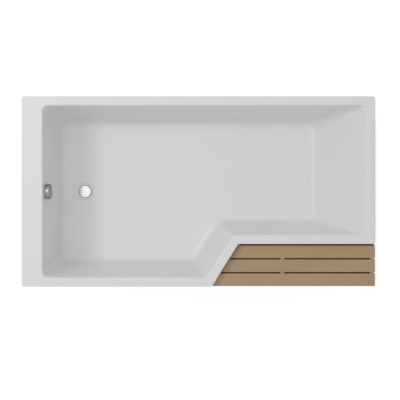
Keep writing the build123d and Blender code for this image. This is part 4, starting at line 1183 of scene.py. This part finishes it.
class BATH_OT_overflow(BathStep, Operator):
    """Finish the overflow, its knob, pipe and cable"""

    bl_idname = "bath.overflow"
    bl_label = "Overflow"

    def execute(self, context):
        finish_nodes("overflow_ring", "overflow_gasket", "overflow_cup", "knob_spindle")
        # The knob takes the darker copy of the chrome: painted shade in place of dark reflections
        finish_as("overflow_knob", painted_shade_chrome())
        finish_nodes("overflow_pipe", "pipe_seals", "cable_sheath")
        ribbed_nuts("pipe_nuts")
        return {"FINISHED"}


class BATH_OT_shelf(BathStep, Operator):
    """Finish the shelf's slats and frame in teak"""

    bl_idname = "bath.shelf"
    bl_label = "Slatted shelf"

    def execute(self, context):
        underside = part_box("slat_1")[0].z + settings("shelf").edge
        timbers = [node for node, slot in sorted(SLOTS.items()) if slot == "teak"]
        for number, node in enumerate(timbers):
            # Bearers and the strips under the gaps get painted shade, a dark colour for the shade between
            # the slats
            backs_gaps = node == "slat_spacers" or node.startswith("bearer_")
            grained(node, random.Random(TEAK_SEED + number), underside if backs_gaps else 0)
        finish_nodes("leg_glides")
        return {"FINISHED"}


class BATH_OT_stage(BathStep, Operator):
    """Set the floor, the light and the camera"""

    bl_idname = "bath.stage"
    bl_label = "Studio"

    def execute(self, context):
        set_floor()
        set_sky()
        studio = settings("studio")
        set_lamp("side_lamp", studio.side_power, studio.side_place)
        near = set_lamp("near_lamp", studio.near_power, studio.near_place)
        near.visible_glossy = False
        set_camera()
        return {"FINISHED"}


def seen_rays(tree):
    """One for rays from the camera and for mirrored and refracted ones, and zero for the rest."""
    rays = add_node(tree, "ShaderNodeLightPath").outputs
    mirrored = math_node(tree, "MAXIMUM", rays["Is Glossy Ray"], rays["Is Transmission Ray"])
    return math_node(tree, "MAXIMUM", rays["Is Camera Ray"], mirrored)


def beside_object(tree):
    """One on the floor beside the object, falling to zero under it, where its shadow lies."""
    place = add_node(tree, "ShaderNodeTexCoord").outputs["Object"]
    parts = add_node(tree, "ShaderNodeSeparateXYZ", {0: place}).outputs
    # How far outside the object's box the line lies, and where the change starts and ends beside it
    beyond_ends, beyond_sides = 0.05, -0.015
    start, end = -0.03, 0.05
    outside = [
        math_node(tree, "SUBTRACT", math_node(tree, "ABSOLUTE", parts[axis]), half)
        for axis, half in ((0, cad_high.x + beyond_ends), (1, cad_high.y + beyond_sides))
    ]
    values = {"Value": math_node(tree, "MAXIMUM", *outside), "From Min": start, "From Max": end}
    return result_of(tree, "ShaderNodeMapRange", values, interpolation_type="SMOOTHSTEP")


def set_floor():
    """Wide pale floor that looks white and keeps the object's shadow."""
    half_width = 9.0
    shaded_grey, white_grey, white_glow = 0.62, 0.25, 0.90
    work = bmesh.new()
    bmesh.ops.create_grid(work, x_segments=1, y_segments=1, size=half_width)
    floor = new_object("studio_floor", mesh_of(work, "studio_floor"))
    material = bpy.data.materials.new("studio_white")
    material.use_nodes = True
    tree = material.node_tree
    tree.nodes.clear()
    pale, thin = (
        result_of(tree, "ShaderNodeBsdfDiffuse", {"Color": (grey, grey, grey, 1)})
        for grey in (shaded_grey, white_grey)
    )
    glow = result_of(tree, "ShaderNodeEmission", {"Strength": white_glow})
    lit = result_of(tree, "ShaderNodeAddShader", {0: thin, 1: glow})
    white = math_node(tree, "MULTIPLY", seen_rays(tree), beside_object(tree))
    mixed = result_of(tree, "ShaderNodeMixShader", {0: white, 1: pale, 2: lit})
    add_node(tree, "ShaderNodeOutputMaterial", {"Surface": mixed})
    floor.data.materials.append(material)


def set_sky():
    """Even light from all around, which looks white."""
    world = bpy.data.worlds.new("studio_sky")
    bpy.context.scene.world = world
    world.use_nodes = True
    tree = world.node_tree
    tree.nodes.clear()
    strength = settings("studio").sky
    values = {"Value": seen_rays(tree), "To Min": strength, "To Max": 1.0}
    level = result_of(tree, "ShaderNodeMapRange", values)
    sky = result_of(tree, "ShaderNodeBackground", {"Color": (1, 1, 1, 1), "Strength": level})
    add_node(tree, "ShaderNodeOutputWorld", {"Surface": sky})


def set_lamp(name, watts, above_rim):
    """Soft lamp that points at the middle of the rim."""
    data = bpy.data.lights.new(name, "AREA")
    data.size = settings("studio").lamp_size
    data.energy = watts
    lamp = new_object(name, data)
    offset = Vector(above_rim)
    lamp.location = Vector((0, 0, cad_high.z)) + offset
    lamp.rotation_euler = (-offset).to_track_quat("-Z", "Y").to_euler()
    return lamp


def set_camera():
    """Camera straight above, framed as the photograph."""
    studio = settings("studio")
    data = bpy.data.cameras.new("camera")
    data.sensor_fit = "HORIZONTAL"
    data.lens = data.sensor_width * studio.camera_height / studio.picture_width
    data.clip_end = 100
    # The photograph's side and the bath's middle in it, in pixels
    picture = 400
    across, down = 198.45, 191.5
    data.shift_x = (picture / 2 - across) / picture
    data.shift_y = (down - picture / 2) / picture
    camera = new_object("camera", data)
    tub_low, tub_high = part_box("tub_shell")
    middle = (tub_low + tub_high) / 2
    camera.location = (middle.x, middle.y, tub_high.z + studio.camera_height)
    bpy.context.scene.camera = camera


class BATH_PT_panel(Panel):
    """Lists the sizes, the colours and the steps"""

    bl_idname = "BATH_PT_panel"
    bl_label = "Shower bath"
    bl_space_type = "VIEW_3D"
    bl_region_type = "UI"
    bl_category = "Bath"

    def draw(self, context):
        for name in GROUPS:
            box = self.layout.box()
            box.label(text=name.capitalize())
            for prop in GROUPS[name].__annotations__:
                box.prop(settings(name), prop)
        for step in STEPS:
            self.layout.operator(step.bl_idname)


GROUPS = {
    "look": BathLook,
    "shelf": ShelfLook,
    "fittings": FittingSizes,
    "studio": StudioSettings,
}
STEPS = (
    BATH_OT_shell,
    BATH_OT_boards,
    BATH_OT_rails,
    BATH_OT_feet,
    BATH_OT_screws,
    BATH_OT_waste,
    BATH_OT_trap,
    BATH_OT_overflow,
    BATH_OT_shelf,
    BATH_OT_stage,
)


def register():
    """Registers the groups of settings, the steps and the panel."""
    for name, group in GROUPS.items():
        bpy.utils.register_class(group)
        setattr(bpy.types.Scene, "bath_" + name, PointerProperty(type=group))
    for step in STEPS:
        bpy.utils.register_class(step)
    bpy.utils.register_class(BATH_PT_panel)


def unregister():
    """Takes the panel, the steps and the groups of settings away again."""
    bpy.utils.unregister_class(BATH_PT_panel)
    for step in reversed(STEPS):
        bpy.utils.unregister_class(step)
    for name, group in GROUPS.items():
        delattr(bpy.types.Scene, "bath_" + name)
        bpy.utils.unregister_class(group)


def main():
    """Runs every step."""
    register()
    bpy.context.scene.view_settings.view_transform = "Standard"
    for step in STEPS:
        area, name = step.bl_idname.split(".")
        getattr(getattr(bpy.ops, area), name)()


if __name__ == "__main__":
    main()
